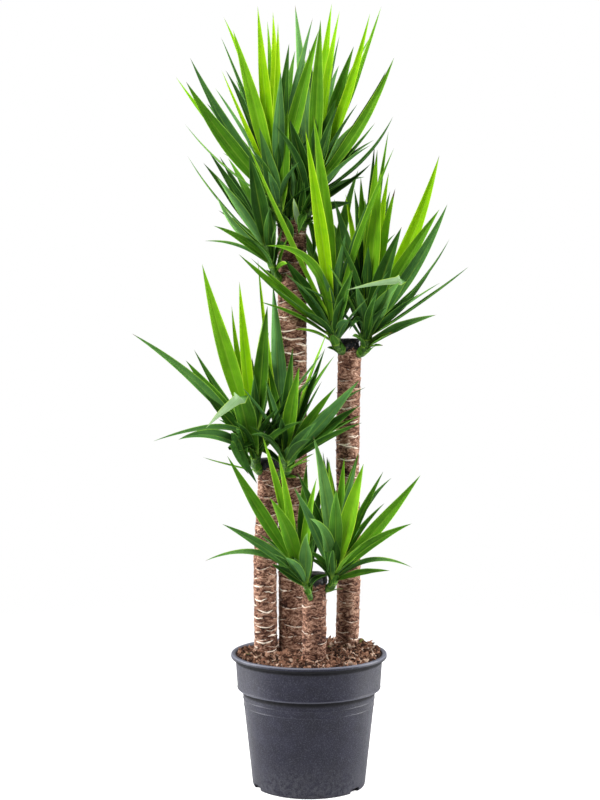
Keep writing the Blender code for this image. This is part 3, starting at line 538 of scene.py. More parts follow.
placed_lumps = 0
heap = bm
draw = random.Random(SOIL_SEED)
for index in range(LUMPS):
    if index % BATCH == 0:
        if index:
            pour(bm, heap)
        bm, (shade_layer, moss_layer) = start_mesh("shade", "moss")
    angle = draw.uniform(0.0, math.tau)
    radius = SCATTER_RADIUS * math.sqrt(draw.random())
    size = draw.choice(LUMP_SIZES)
    x, y = radius * math.cos(angle), radius * math.sin(angle)
    squash = (draw.uniform(0.9, 2.7), draw.uniform(0.5, 1.1), draw.uniform(0.30, 0.75))
    turn_by = Quaternion((draw.gauss(0, 1), draw.gauss(0, 1), draw.gauss(0, 1), draw.gauss(0, 1)))
    lightness = draw.choice(LUMP_SHADES)
    mossy = 0.7 if draw.random() < MOSSY_SHARE else 0.0
    if any(math.hypot(x - cx, y - cy) < reach for cx, cy, reach in CANE_FEET):
        continue
    if radius > LUMP_LIMIT - size:
        x, y = x * DRAWN_IN, y * DRAWN_IN
    lift = soil_height(x, y) + size * draw.uniform(0.2, 0.9)
    for vert in bmesh.ops.create_icosphere(bm, subdivisions=1, radius=1.0)["verts"]:
        rough = 1 + 0.75 * noise.noise(vert.co * 2.1 + Vector((index, 0.0, 0.0)))
        shape = Vector([a * b for a, b in zip(vert.co, squash)]) * (size * rough)
        shape.rotate(turn_by)
        vert.co = shape + Vector((x, y, lift))
        vert[shade_layer] = lightness
        vert[moss_layer] = mossy
    placed_lumps += 1
pour(bm, heap)
keep_piece(heap, "potting_mix", [mix], "soil", "soil")
print("lumps:", placed_lumps)

# %% [markdown]
# ## The canes
# Each cane is a length of old yucca stem, cut and rooted. Its bark is matted and fibrous, and it
# carries the scars of shed leaves: pale crescents, low in the middle, that climb round the stem in
# a spiral of 137.5 degrees, each overlapping the next. A displacement texture can't draw such long
# tapering ridges cleanly, so the bark is a wrapped skin with rough bulges, and every scar is a
# slim blade laid on it, sunk at its rim and ends.

# %% Cane shapes
CANE_FOOT = 0.262
# Name, radius, the middle line from foot to cut top, and the spacing of its scars.
CANES = (
    ("120", 0.0315, ((-0.035, 0.040, CANE_FOOT), (-0.036, 0.040, 0.700), (-0.037, 0.040, 1.240)), 0.0078),
    ("90", 0.0258, ((0.0855, 0.070, CANE_FOOT), (0.0895, 0.070, 0.480), (0.0865, 0.070, 0.720),
                    (0.0905, 0.070, 0.968)), 0.0082),
    ("60", 0.0250, ((-0.094, 0.012, CANE_FOOT), (-0.096, 0.012, 0.480), (-0.085, 0.012, 0.706)), 0.0074),
    ("30", 0.0255, ((0.011, -0.066, CANE_FOOT), (0.011, -0.066, 0.467)), 0.0115),
)
# How light the bark of each cane is where its relief is neither high nor low; the two shortest canes are
# made darker as painted shade, against the extra light the floor throws on them.
BARK_SHADE = (0.52, 0.52, 0.50, 0.46)
GOLDEN_ANGLE = math.radians(137.5)
CANE_SEED = 50
NOISE_STEP = 7.3
BARK_COLUMNS = 88
BARK_ROW = 0.0020
RELIEF_TO_SHADE = 240
TOP_EDGE = 0.008
SCAR_FACES = (2, 14)
SCAR_THICKNESS = 0.0008
SCAR_SINK = 0.0003
SCAR_CREST = 0.0015
SCAR_FREE_END = 0.012
SCAR_SPAN = 1.20
SCAR_CLIMB = 0.0085
# How far the bark falls back above a scar and swells below it, and over which height.
FALL_BACK = (0.0017, 0.0026)
SWELL = (0.0011, 0.0035)
FLAKE_FACES = (3, 4)
FLAKE_THICKNESS = 0.0007
FLAKE_SINK = 0.0006
FLAKES_PER_METRE = 55
FLAKES_AT_TOP = 14
# How pale the scars of a cane are between two heights, as (low, high, paleness).
SCAR_PALENESS = {
    "120": ((0.30, 0.50, 0.80), (0.50, 0.84, 0.55), (0.84, 1.10, 0.50), (1.10, 1.30, 0.50)),
    "90": ((0.28, 0.34, 0.60), (0.34, 0.60, 0.40), (0.60, 0.72, 0.60), (0.72, 1.0, 0.40)),
    "60": ((0.28, 0.437, 0.45), (0.437, 0.53, 0.40), (0.53, 0.72, 0.70)),
    "30": ((0.28, 0.31, 0.4), (0.31, 0.345, 0.90), (0.345, 0.39, 0.5), (0.39, 0.41, 0.8),
           (0.41, 0.47, 0.3)),
}
# Scars that catch the eye at the front: height of the lowest point, where the scar starts, is
# lowest and ends in degrees from the front, its climb to the left and right in millimetres.
FRONT_SCARS = {
    "120": ((1.045, -30, 55, 75, 7, 0), (1.017, -75, -30, -10, 3, 1), (0.986, -78, -35, 20, 2, 5),
            (0.969, -62, 0, 70, 6, 3), (0.958, -80, -70, -35, 0, 3), (0.954, 10, 75, 78, 7, 0),
            (0.937, -62, 5, 65, 7, 6), (0.929, -82, -75, -45, 0, 4), (0.921, 5, 60, 78, 2, 1),
            (0.908, -80, -40, -10, 6, 2), (0.882, -75, -70, -40, 0, 4), (0.866, -30, 20, 60, 4, 5)),
    "90": ((0.816, -55, -15, 20, 3, 5), (0.785, 5, 10, 60, 0, 6), (0.768, -60, -50, 0, 0, 6),
           (0.754, -5, 30, 70, 3, 4), (0.737, -70, -20, 20, 2, 6), (0.728, -40, 70, 75, 9, 0),
           (0.702, -50, 5, 45, 5, 4), (0.664, -10, 40, 75, 6, 3)),
    "60": ((0.4317, -77, -43, -10, 0, 0), (0.4180, -6, 45, 52, 4, 0), (0.4000, -77, -25, 15, 6, 6),
           (0.3890, -90, -60, -42, 0, 0), (0.3750, -47, 8, 49, 8, 6), (0.3620, -90, -37, -6, 2, 3),
           (0.3415, -66, 4, 49, 5, 8), (0.3300, -66, -60, -21, 0, 4), (0.3240, 8, 12, 70, 0, 2),
           (0.3075, -66, -14, 49, 5, 8), (0.2980, -66, -55, -42, 0, 0), (0.2900, -10, 30, 70, 0, 4)),
    "30": (),
}


def cane_middle(line, height):
    """The middle of the cane at a height, eased from point to point of its line."""
    for low, high in zip(line, line[1:]):
        if height <= high[2] or high is line[-1]:
            share = ease((height - low[2]) / (high[2] - low[2]))
            return Vector((low[0] + (high[0] - low[0]) * share, low[1] + (high[1] - low[1]) * share,
                           height))


def scar_rise(turn_away):
    """How far a scar lies above its lowest point at this share of its half span."""
    return SCAR_CLIMB * abs(turn_away) ** 1.6


def bark_relief(seed, radius, angle, height, spacing):
    """How far the bark stands out: knobs, fibres and the shingles between scars."""
    place = Vector((math.cos(angle) * radius, math.sin(angle) * radius, height))
    knobs = 0.0011 * noise.noise(place * 42 + Vector((seed, 0, 0)))
    mat = 0.0009 * noise.noise(Vector((place.x * 95, place.y * 95, height * 170 + seed)))
    shingles = 0.0
    nearest = (height - CANE_FOOT) / spacing
    for index in range(int(nearest) - 2, int(nearest) + 3):
        away = (angle - index * GOLDEN_ANGLE + math.pi) % math.tau - math.pi
        if abs(away) < SCAR_SPAN:
            above = height - (CANE_FOOT + index * spacing + scar_rise(away / SCAR_SPAN))
            fade = math.cos(away / SCAR_SPAN * math.pi / 2)
            if above > 0:
                shingles -= FALL_BACK[0] * fade * math.exp(-above / FALL_BACK[1])
            else:
                shingles += SWELL[0] * fade * math.exp(above / SWELL[1])
    return knobs + mat + shingles


# %% [markdown]
# ## Bark and scar materials
# The bark is a mat of brown fibres with tan scales. Its pattern reads the place on the object,
# squeezed in height so that the scales lie flat and long. The relief of the skin is kept on its
# points as a number, which gives painted shade in the hollows and a painted highlight on the
# crests, darkest where the bark falls back above each scar. A scar is nearly the same bark where
# it is faint, and cream where the light wood shows.

# %% Bark
def bark_pattern(tree):
    """The fibrous browns that bark, scars and flakes share, and the height of their fibres."""
    scales = grain_on_object(tree, 52.0, 2.4, (1.0, 1.0, 1.9))
    fibres = grain_on_object(tree, 110.0, 2.6, (1.0, 1.0, 2.0))
    value = scaled(tree, scales["Broad"], 0.36, times(tree, fibres["Broad"], 0.14))
    # The relief number adds painted shade in the hollows and a painted highlight on the crests.
    value = calc(tree, "ADD", value, times(tree, attribute(tree, "relief"), 0.54))
    colour = ramp(tree, value, (0.22, (0.012, 0.005, 0.0035)), (0.40, (0.070, 0.028, 0.018)),
                  (0.56, (0.215, 0.104, 0.066)), (0.70, (0.410, 0.240, 0.165)),
                  (0.86, (0.620, 0.430, 0.320)))
    height = scaled(tree, fibres["Broad"], 0.6, times(tree, scales["Broad"], 0.4))
    return colour, height


bark, tree, shader = new_material("cane_bark", IOR=1.45, Specular_IOR_Level=0.2)
colour, height = bark_pattern(tree)
surface_finish(tree, shader, colour, scaled(tree, height, -0.12, 0.92), height, 0.0020)

scar, tree, shader = new_material("leaf_scar", IOR=1.45, Specular_IOR_Level=0.25)
colour, height = bark_pattern(tree)
cream = blend_colours(tree, height, (0.720, 0.580, 0.450, 1), (0.940, 0.880, 0.780, 1))
colour = blend_colours(tree, attribute(tree, "pale"), colour, cream)
surface_finish(tree, shader, colour, scaled(tree, height, -0.1, 0.8), height, 0.0006)

# %% [markdown]
# ## Wax
# The cut tops are dipped in black wax, which covers the last two centimetres and runs down in short
# drips. The cap is a skin too: it starts at the uneven edge of the drips, climbs the cane and
# closes over its top in a low dome. A Solidify modifier gives it the thickness of the wax.

# %% Wax
wax, tree, shader = new_material("sealing_wax", IOR=1.45, Specular_IOR_Level=0.3, Coat_Roughness=0.10)
pools = grain_on_object(tree, 70.0, 1.2)
colour = blend_colours(tree, pools["Broad"], (0.004, 0.004, 0.007, 1), (0.016, 0.016, 0.024, 1))
colour = blend_colours(tree, rise(tree, pools["Fine"], 0.80, 1.0), colour, (0.110, 0.075, 0.055, 1))
roughness = scaled(tree, pools["Fine"], 0.25, 0.30)
tree.links.new(times(tree, rise(tree, pools["Broad"], 0.45, 0.75), 0.9), shader["Coat Weight"])
surface_finish(tree, shader, colour, roughness, pools["Fine"], 0.0020)

# %% Grow the canes
for seed, (name, radius, line, spacing) in enumerate(CANES):
    bm, layers = start_mesh("relief", "pale")
    foot, top = line[0][2], line[-1][2]
    rows = int((top - foot) / BARK_ROW)
    draw = random.Random(CANE_SEED + seed)

    def bark_point(u, v):
        """A point of the bark; its first and last rows close over the foot and the cut top."""
        angle = math.tau * u
        height = foot + (top - foot) * between_ends(v, rows)
        relief = bark_relief(seed * NOISE_STEP, radius, angle, height, spacing)
        reach = (radius + relief) * (1 - 0.06 * ease((height - top + TOP_EDGE) / TOP_EDGE))
        if v in (0.0, 1.0):
            reach = 0.0
        point = cane_middle(line, height) + outwards(angle) * reach
        # The relief also goes to the material as a number for its painted shade and highlight.
        return point, (BARK_SHADE[seed] + relief * RELIEF_TO_SHADE, 0.0)

    def lay_scar(lowest, start, low, end, climbs, half, paleness, key, sharpness=1.5):
        """A crescent on the bark, thick in its middle and pointed at both ends."""
        def scar_point(u, v):
            angle = start + (end - start) * v
            arm = (low - angle) / (low - start) if angle < low else (angle - low) / (end - low)
            climb = climbs[0] if angle < low else climbs[1]
            wobble = 0.0016 * noise.noise(Vector((v * 4.1, key * 2.7, seed)))
            width = half * (1 - abs(v * 2 - 1) ** 2.2) * (1 + 0.5 * noise.noise(Vector((v * 8, key, 5))))
            height = lowest + climb * min(arm, 1.0) ** sharpness + wobble + (u * 2 - 1) * width
            relief = bark_relief(seed * NOISE_STEP, radius, angle, height, spacing)
            outward = outwards(angle)
            crest = 4 * u * (1 - u) * (1 - abs(v * 2 - 1) ** 4)
            reach = radius + relief - SCAR_SINK + SCAR_CREST * crest
            return cane_middle(line, height) + outward * reach, outward, (0.62, paleness)

        blade(bm, *SCAR_FACES, scar_point, SCAR_THICKNESS, layers, (1, 1))

    for index in range(int((top - SCAR_FREE_END - foot) / spacing)):
        lowest = foot + index * spacing + draw.uniform(-0.0012, 0.0012)
        paleness = next((pale for low, high, pale in SCAR_PALENESS[name] if low <= lowest < high), 0.3)
        paleness = min(1.0, paleness * draw.uniform(0.45, 1.35))
        spans = [SCAR_SPAN * draw.uniform(0.45, 1.0) for _ in range(2)]
        climbs = [scar_rise(span / SCAR_SPAN) + draw.uniform(-0.002, 0.002) for span in spans]
        half = draw.uniform(0.0009, 0.0016) * (0.80 + 0.40 * paleness)
        if foot + SCAR_FREE_END <= lowest <= top - 0.006 - SCAR_CLIMB:
            middle = index * GOLDEN_ANGLE
            lay_scar(lowest, middle - spans[0], middle, middle + spans[1], climbs, half, paleness, index)
    for index, (lowest, start, low, end, *climbs) in enumerate(FRONT_SCARS[name]):
        start, low, end = (math.radians(degrees - 90) for degrees in (start, low, end))
        lay_scar(lowest, start, low, end, [climb / 1000 for climb in climbs], draw.uniform(0.0015, 0.0023),
                 draw.uniform(0.85, 1.0), 500 + index, 1.15)

    # Flakes of old leaf bases stick out of the bark, a third of them near the cut top.
    for index in range(int((top - foot) * FLAKES_PER_METRE) + FLAKES_AT_TOP):
        near_top = index % 3 == 0
        height = top - draw.uniform(0.004, 0.035) if near_top else draw.uniform(foot + 0.03, top - 0.02)
        angle = draw.uniform(0, math.tau)
        length, width = draw.uniform(0.004, 0.009), draw.uniform(0.003, 0.0075)
        stand = draw.uniform(0.10, 0.55) if not near_top else draw.uniform(0.25, 0.8)
        upward = 1 if draw.random() < 0.7 else -1
        tone = draw.uniform(0.25, 0.75)

        def flake_point(u, v):
            """A small torn scale, rooted in the bark and bent outwards at its tip."""
            around = angle + (u - 0.5) * width * (1 - 0.6 * v ** 2) / radius
            outward = outwards(around)
            up = height + upward * length * v * math.cos(stand * v)
            torn = 0.0009 * noise.noise(Vector((u * 3, v * 3, index)))
            out = radius - FLAKE_SINK + length * v * math.sin(stand * v) + torn
            return cane_middle(line, up) + outward * out, outward, (tone, 0.0)

        blade(bm, *FLAKE_FACES, flake_point, FLAKE_THICKNESS, layers)
    skin(bm, BARK_COLUMNS, rows, bark_point, layers)
    keep_piece(bm, "cane_" + name + "_bark", [bark, scar], "bark", "cane_" + name)

# %% Dip their tops in wax
WAX_FACES = (64, 26)
WAX_THICKNESS = 0.0009
WAX_LAYER = 0.0016
WAX_LIP = 0.0008
WAX_REACH = {"120": 0.014, "90": 0.024, "60": 0.018, "30": 0.017}
# The dome over the cut top, the hollow in its middle, and how far both stand above the wood.
WAX_DOME = 0.0035
WAX_HOLLOW = 0.0022
WAX_LIFT = 0.001
# The share of the skin, from the drips up, at which its side turns into its top.
SHOULDER = 0.55
for seed, (name, radius, line, _) in enumerate(CANES):
    bm, layers = start_mesh()
    top = line[-1][2]

    def wax_point(u, v):
        """From the drips at v = 0 up the side, over a round shoulder, to the middle of the top."""
        angle = math.tau * u
        place = Vector((math.cos(angle), math.sin(angle), seed * 3.0))
        edge = WAX_REACH[name] * (1 + 0.40 * noise.noise(place * 1.3) + 0.60 * noise.noise(place * 5.2))
        outside = radius + WAX_LAYER + WAX_LAYER * noise.noise(place * 4 + Vector((0, 0, v * 5)))
        if v < SHOULDER:
            below = 1 - v / SHOULDER
            height, reach = top + WAX_LIFT - edge * below, outside + WAX_LIP * below
        else:
            over = (v - SHOULDER) / (1 - SHOULDER)
            height = top + WAX_LIFT + WAX_DOME * math.sin(min(over * 2.2, 1.0) * math.pi / 2)
            reach = outside * (1 - max(over - 0.12, 0.0) / 0.88)
            uneven = 0.0006 * noise.noise(place * 2 + Vector((0, 0, over * 5)))
            height -= WAX_HOLLOW * ease((over - 0.4) / 0.6) - uneven
        if v == 1.0:
            height = top + WAX_LIFT + WAX_DOME - WAX_HOLLOW
        middle = cane_middle(line, min(height, top))
        return Vector((middle.x, middle.y, height)) + outwards(angle) * reach, ()

    skin(bm, *WAX_FACES, wax_point, layers)
    cap = keep_piece(bm, "wax_cap_" + name, [wax], "wax", "wax_seal_" + name)
    coat = cap.modifiers.new("thickness", "SOLIDIFY")
    coat.thickness = WAX_THICKNESS
    coat.offset = -1.0

# %% [markdown]
# ## Where every leaf lies
# The leaves can't be scattered by a rule alone, because the eye knows this plant by its outline.
# They are set out like a drawing on the front elevation: where a leaf's tip is seen, how far it
# lies behind its root, how wide it is, how it arches and which way its face is turned. The packed
# solids come from nearly the same numbers, so each blade lies on its solid. A leaf's row is its
# tone, tip x and z as the camera sees them, depth of the tip behind the root, all in centimetres,
# width in millimetres, bow (+ arches over), and how far its face is turned to the front (- shows its
# underside). Three more numbers give a point that a bent leaf passes through, and one more says how
# far up the stem the leaf leaves it, from 0 to 1, where that isn't left to its lean. A leaf with two
# tones is creased at that point: it hangs over there and shows its underside in the second tone.

# %% Leaf tones
# Each tone's letter: how bright it is, how grey-green, and how far it has dried at its tip.
TONES = {
    "B": (0.84, 0.00, 0.0), "b": (0.70, 0.00, 0.0), "T": (0.72, 0.05, 0.6), "l": (0.56, 0.05, 0.0),
    "m": (0.45, 0.05, 0.0), "t": (0.38, 0.15, 1.0), "p": (0.38, 0.55, 0.2), "n": (0.29, 0.05, 0.0),
    "d": (0.14, 0.08, 0.0), "g": (0.24, 0.50, 0.0), "w": (0.72, 0.95, 0.3),
}

# %% Stems of the shoots
# For each shoot the radii of its stem at the cane and at the crown, and points of its line as
# (x and z as seen, depth behind the pot's middle), in centimetres.
STEMS = {
    "30_left": ((0.005, 0.0085), ((0.5, 40.0, -8.3), (0.1, 41.4, -9.7), (-0.5, 43.0, -10.3),
                                  (-1.8, 45.8, -10.6), (-3.4, 49.4, -10.6))),
    "30_right": ((0.0085, 0.0105), ((3.4, 42.4, -6.6), (4.9, 43.2, -7.4), (5.4, 45.4, -7.8),
                                    (6.2, 48.6, -8.0))),
    "60_left": ((0.0105, 0.0125), ((-10.6, 68.2, 0.2), (-11.6, 69.8, -1.4), (-11.6, 73.2, -2.0),
                                   (-11.7, 78.0, -2.0))),
    "60_right": ((0.01, 0.012), ((-6.5, 67.4, 0.2), (-4.9, 68.4, -1.3), (-5.2, 71.2, -2.4),
                                 (-5.8, 75.0, -3.0))),
    "90_left": ((0.0115, 0.0125), ((7.4, 94.5, 5.4), (6.1, 95.7, 3.8), (5.4, 98.6, 2.7), (5.3, 103.0, 2.2))),
    "90_right": ((0.011, 0.013), ((10.7, 93.8, 5.9), (12.2, 95.0, 4.6), (12.4, 98.0, 3.6),
                                  (12.4, 102.5, 3.1))),
    "120_front": ((0.0105, 0.0125), ((-4.8, 120.6, 2.4), (-6.2, 123.2, -0.4), (-6.8, 127.0, -1.2),
                                     (-7.0, 132.0, -1.2))),
    "120_right": ((0.0105, 0.0125), ((-1.9, 120.8, 2.6), (-0.7, 123.4, 0.6), (0.2, 127.4, 0.2),
                                     (1.0, 132.5, 0.0))),
    "120_left": ((0.0075, 0.01), ((-5.6, 109.3, 3.0), (-7.3, 111.2, 1.2), (-8.6, 115.0, 0.2),
                                  (-9.6, 120.0, -0.2))),
}

# %% Rows of the leaves
LEAVES = {
    "30_left": (
        ("n", -17.8, 71.6, -4, 30, -0.03, 0.8), ("l", -10.2, 76.2, -6, 20, 0.03, 0.7),
        ("l", -6.7, 72.3, -5, 20, 0.02, 0.7), ("m", -8.5, 62.4, -12, 34, 0.12, 0.8),
        ("g", -5, 64.5, 1, 24, 0, -0.6), ("g", -18.9, 56.7, -8, 25, 0.06, 0.7),
        ("p", -22.7, 48.6, -7, 20, 0.34, 0.5), ("d", -8.3, 48, -6, 22, 0.05, 0.8),
        ("g", -5.2, 49.4, -12, 23, 0.1, -0.7), ("d", -3.9, 49.8, -4, 22, 0.1, 0.6),
        ("d", 0.9, 53.6, -6, 27, 0.1, 0.7), ("p", -0.3, 54.9, -12, 30, 0.16, 0.7),
        ("d", -8.6, 50.5, -13, 20, 0.05, 0.7), ("m", 1.7, 66.8, 2, 22, 0.05, 0.6),
        ("n", -0.5, 70, 11.8, 25, 0.14, -0.12), ("d", 3, 66, 17.3, 27, 0.07, 0.05),
        ("g", 4.1, 63.1, 15.9, 27, 0.07, -0.11),
    ),
    "30_right": (
        ("p", 0.9, 76.1, -4, 34, 0.06, 0.8), ("l", 4.3, 71.1, 3, 18, 0.03, 0.3),
        ("d", 3, 72.6, 6, 16, 0.02, 0.2), ("m", 7.7, 71.2, 1, 24, 0.02, 0.6),
        ("n", 5.9, 64.3, -10, 31, 0.10, -0.8), ("g", 10.3, 70.7, -1, 25, 0.02, -0.5),
        ("l", 11.9, 69.9, -5, 36, 0.02, 0.8), ("n", 16.2, 68.2, 0, 22, 0.02, 0.6),
        ("n", 16.5, 61.3, 4, 17, 0.10, 0.5), ("m", 24.3, 67.4, -5, 31, -0.04, 0.8),
        ("n", 22.4, 56.8, -7, 27, 0.1, 0.7), ("p", 22.5, 47.2, -5, 14, 0.34, 0.6),
        ("n", 17.7, 46.5, -6, 18, 0.09, 0.6), ("p", 0.1, 57.9, -12, 32, 0.3, 0.7),
        ("d", -0.6, 50.9, -5, 22, 0.2, 0.6), ("d", 4.1, 45.8, -12, 22, 0.1, 0.5, 4.2, 50.4, -8),
        ("m", 11.6, 52.2, -10, 15, 0.08, 0.3), ("g", -3.3, 64.8, -8, 25, 0.04, -0.7),
        ("d", -2.6, 68.1, 2, 27, 0.05, 0.6), ("n", 10.9, 72.4, 6.1, 30, 0.07, -0.06),
        ("d", 3.9, 71.4, 12.5, 31, 0.13, 0.01), ("g", 18, 66.8, 16.8, 24, 0.16, -0.03),
        ("n", -0.7, 62.5, 17.7, 25, 0.1, 0.18),
    ),
    "60_left": (
        ("l", -23.2, 113.3, -6, 38, -0.03, 0.9), ("b", -16.8, 104.3, 2, 18, -0.05, 0.6),
        ("b", -15.1, 109.5, -6, 25, -0.03, 0.8), ("n", -9, 104.2, -4, 34, 0.02, 0.8),
        ("w", -9.7, 102.8, 2, 26, 0.02, -0.7), ("p", -38.5, 98.2, -4, 25, 0.1, 0.7),
        ("n", -26.8, 92.4, 3, 34, -0.01, 0.7), ("d", -25, 94.7, 8, 22, -0.04, 0.6),
        ("nw", -23, 77.6, -13, 46, 0.1, 0.7, -15.2, 84.6, -10),
        ("g", -34, 74.7, -5, 19, 0.1, 0.5, -20.5, 77.6, -4, 0.80),
        ("g", -28.4, 75.1, -12, 27, 0.1, 0.7, -20.2, 75.9, -9, 0.55),
        ("n", -23.1, 71.3, 0, 8, -0.04, 0.2, 0.02),
        ("dd", -11.7, 65.2, -6, 44, 0.1, 0.5, -15.9, 75.2, -6, 0.80),
        ("dd", -13.6, 67.2, -8, 40, 0.1, 0.5, -17.0, 74.6, -8, 0.70),
        ("d", -12.6, 70.2, -6, 24, 0.1, 0.6, -14.2, 73.2, -5, 0.60), ("d", -23, 85.3, -4, 31, 0.03, 0.7),
        ("d", -17.1, 81.6, -10, 24, 0.05, 0.7), ("d", 2.3, 90.4, -9, 26, 0.02, 0.4),
        ("g", 3.2, 94.3, -9, 22, 0.02, 0.3), ("d", -1.3, 79.1, -10, 24, 0.14, 0.6),
        ("n", -8.7, 98.5, 11.3, 28, 0.14, -0), ("d", -12.4, 93.0, 11.5, 24, 0.07, -0.07),
        ("g", -6.2, 98.6, 15.1, 27, 0.1, 0.08), ("n", -18.8, 94.9, 16.7, 26, 0.16, 0.13),
        ("d", -10.4, 91.2, 19.7, 28, 0.12, 0.2),
    ),
    "60_right": (
        ("d", -3.5, 95.2, -4, 25, 0.02, 0.7), ("m", -2.1, 90.9, -13, 31, 0.05, 0.8),
        ("l", 4.1, 98.9, -3, 19, 0.02, 0.3), ("d", 3.5, 95, -2, 24, -0.03, 0.5),
        ("d", 2.8, 87.8, 0, 16, 0.03, 0.2), ("g", 10.9, 88, -9, 31, -0.02, -0.8),
        ("n", 5.9, 86.6, -5, 25, 0.04, 0.7), ("d", 11, 82.5, -5, 29, 0.05, 0.8),
        ("d", 6.8, 83.3, 1, 31, 0.08, 0.7), ("d", 11.6, 78.8, -10, 20, 0.06, 0.6),
        ("g", 1.6, 78.9, -14, 28, 0.06, 0.8), ("d", -12.7, 76.1, -17, 21, 0.2, 0.6),
        ("m", 1.1, 72.1, -5, 13, 0.04, 0.3), ("d", 0.6, 75.3, -16, 31, 0.06, 0.8),
        ("p", -4.6, 73.6, -5, 27, 0.12, -0.7), ("d", -1.5, 86.3, -9, 27, 0.06, 0.7),
        ("g", -7.3, 89, 4, 30, 0.05, -0.6), ("m", 0.2, 70.6, -9, 12, 0.04, 0.3),
        ("b", -11.1, 114.4, 2, 18, -0.03, 0.3), ("n", -10.5, 96, 1, 28, 0.02, 0.7),
        ("g", -7.8, 108.8, 5, 36, 0.0, -0.7), ("n", 5.6, 93.4, 3.2, 26, 0.10, -0.1),
        ("d", 12.3, 86.5, 5.5, 29, 0.15, 0.08), ("g", -17.3, 85.2, 18.8, 27, 0.16, 0.23),
        ("n", 11.3, 80.4, 7.1, 29, 0.07, 0.13),
    ),
    "90_left": (
        ("b", -0.8, 142.2, -15, 30, 0.03, 0.9), ("l", 0.95, 145.3, -12, 34, 0.075, 0.9),
        ("m", 18.4, 138.3, -9, 21, 0.04, 0.6), ("l", -14.0, 141.2, -13, 16, -0.04, 0.6),
        ("m", -9.3, 117.2, -11, 25, 0.1, 0.7, 0.8, 112.6, -7), ("m", -15.3, 115.4, -6, 26, -0.04, 0.6),
        ("n", -12.6, 114.5, -6, 19, -0.02, 0.5), ("d", -5.4, 114.5, -3, 33, 0, 0.8),
        ("n", -10.9, 105.1, -7, 18, 0.08, 0.4), ("m", -3.2, 99.1, -6, 15, 0.15, 0.4),
        ("d", -9.6, 109.5, -10, 16, 0.02, 0.3), ("p", 13, 106.2, -9, 15, 0.02, 0.4),
        ("g", 13, 127.4, -3, 25, 0.02, 0.6), ("g", 8.8, 100.8, -9, 24, 0.3, -0.6),
        ("d", 9.6, 112, -14, 28, 0.05, 0.7), ("n", 10.7, 133.6, 13.2, 31, 0.16, -0.04),
        ("d", 2.9, 131.3, 15.1, 29, 0.06, 0.03), ("g", 7.4, 125.4, 21, 25, 0.07, 0.16),
        ("n", -3.7, 124.5, 19.4, 26, 0.11, 0.2), ("d", 5.6, 120.9, 25, 27, 0.13, 0.2),
        ("n", 18.7, 119.8, 26.9, 30, 0.09, 0.02),
    ),
    "90_right": (
        ("g", 5.4, 127.3, -2, 31, 0.03, 0.8), ("b", 7.9, 128.4, 4, 21, 0.02, 0.5),
        ("m", 11.2, 132.1, 4, 29, 0.02, 0.8), ("d", 10.4, 124.6, -2, 21, 0.03, 0.6),
        ("d", 14.2, 139.2, 2, 23, 0.02, 0.6), ("l", 14.8, 138, -4, 31, 0.02, 0.8),
        ("l", 15.5, 133.6, -6, 35, 0.02, 0.9), ("b", 17.3, 133.2, 10, 25, 0.02, 0.6),
        ("T", 18.7, 129.6, 2, 30, 0.02, 0.7), ("d", 20.1, 121.3, -12, 38, 0.05, 0.8),
        ("b", 28.2, 136.7, -3, 35, -0.07, 0.9), ("m", 28.3, 125.1, -7, 37, 0.03, 0.9),
        ("g", 30, 126.2, -9, 33, -0.1, 0.7), ("d", 30.5, 118.7, -3, 19, -0.12, 0.2),
        ("d", 34.7, 112.7, -2, 19, -0.04, 0.2), ("p", 28.5, 109.2, -8, 16, 0.06, 0.2),
        ("p", 26.6, 112.1, -1, 25, -0.1, 0.6), ("g", 24, 106.8, -10, 21, 0.02, 0.6),
        ("p", 27.6, 102.2, -6, 24, 0.06, 0.6), ("d", 21.4, 99.7, 1, 13, 0.04, 0.3),
        ("t", 18.3, 98.5, -6, 16, 0.06, 0.5), ("t", 16.1, 95.6, -3, 12, 0.04, 0.3),
        ("gw", 7.8, 108.0, -12, 32, 0.1, 0.6, 19.9, 110.2, -12, 0.7), ("p", 19.8, 109.4, -14, 38, 0.1, 0.8),
        ("g", 8.7, 98.8, -7, 19, 0.1, 0.6, 11, 100.9, -4), ("d", 4.2, 113.2, -11, 16, 0.03, 0.5),
        ("d", 14.8, 106.9, -16, 26, 0.06, 0.7), ("g", 5.8, 116.2, 5, 25, 0.05, -0.6),
        ("m", 17.2, 141.9, -2, 27, 0.02, 0.5), ("d", 9.4, 97.6, -8, 22, 0.15, 0.6),
        ("n", 12.1, 127.4, 20.1, 30, 0.17, -0.09), ("d", 9.8, 129.6, 14.6, 26, 0.09, 0.04),
        ("g", 17.6, 129.1, 18.9, 26, 0.06, 0.02), ("n", 2.5, 125.1, 20.4, 28, 0.17, 0.13),
        ("d", 12.1, 121.9, 27.3, 28, 0.14, -0.13), ("n", 25.4, 119.6, 27.4, 29, 0.16, 0.17),
    ),
    "120_front": (
        ("b", -11.1, 168.8, -3, 28, -0.02, 0.8), ("l", -9, 165.6, 4, 21, 0.02, 0.5),
        ("B", -7.8, 167.6, 0, 25, 0.02, 0.8), ("b", -6.7, 165.2, -6, 20, 0.02, 0.8),
        ("l", -16.4, 163.6, -7, 33, 0.02, 0.9), ("b", -18.4, 166.4, 2, 25, 0.06, 0.5),
        ("g", -19, 162.1, -1, 21, 0.02, 0.35), ("d", -18, 155, 4, 25, 0.05, 0.6),
        ("g", -20.3, 151.2, 4, 21, 0.03, -0.4), ("g", -25.7, 157.7, -3, 28, -0.08, 0.7),
        ("g", -22.1, 147.9, -1, 28, 0.02, -0.7), ("d", -14, 148, 6, 20, 0.03, 0.5),
        ("g", -10.8, 142.7, -6, 36, 0.03, 0.8, 0.30), ("d", -8.8, 134.0, -4, 26, 0.02, 0.7, 0.20),
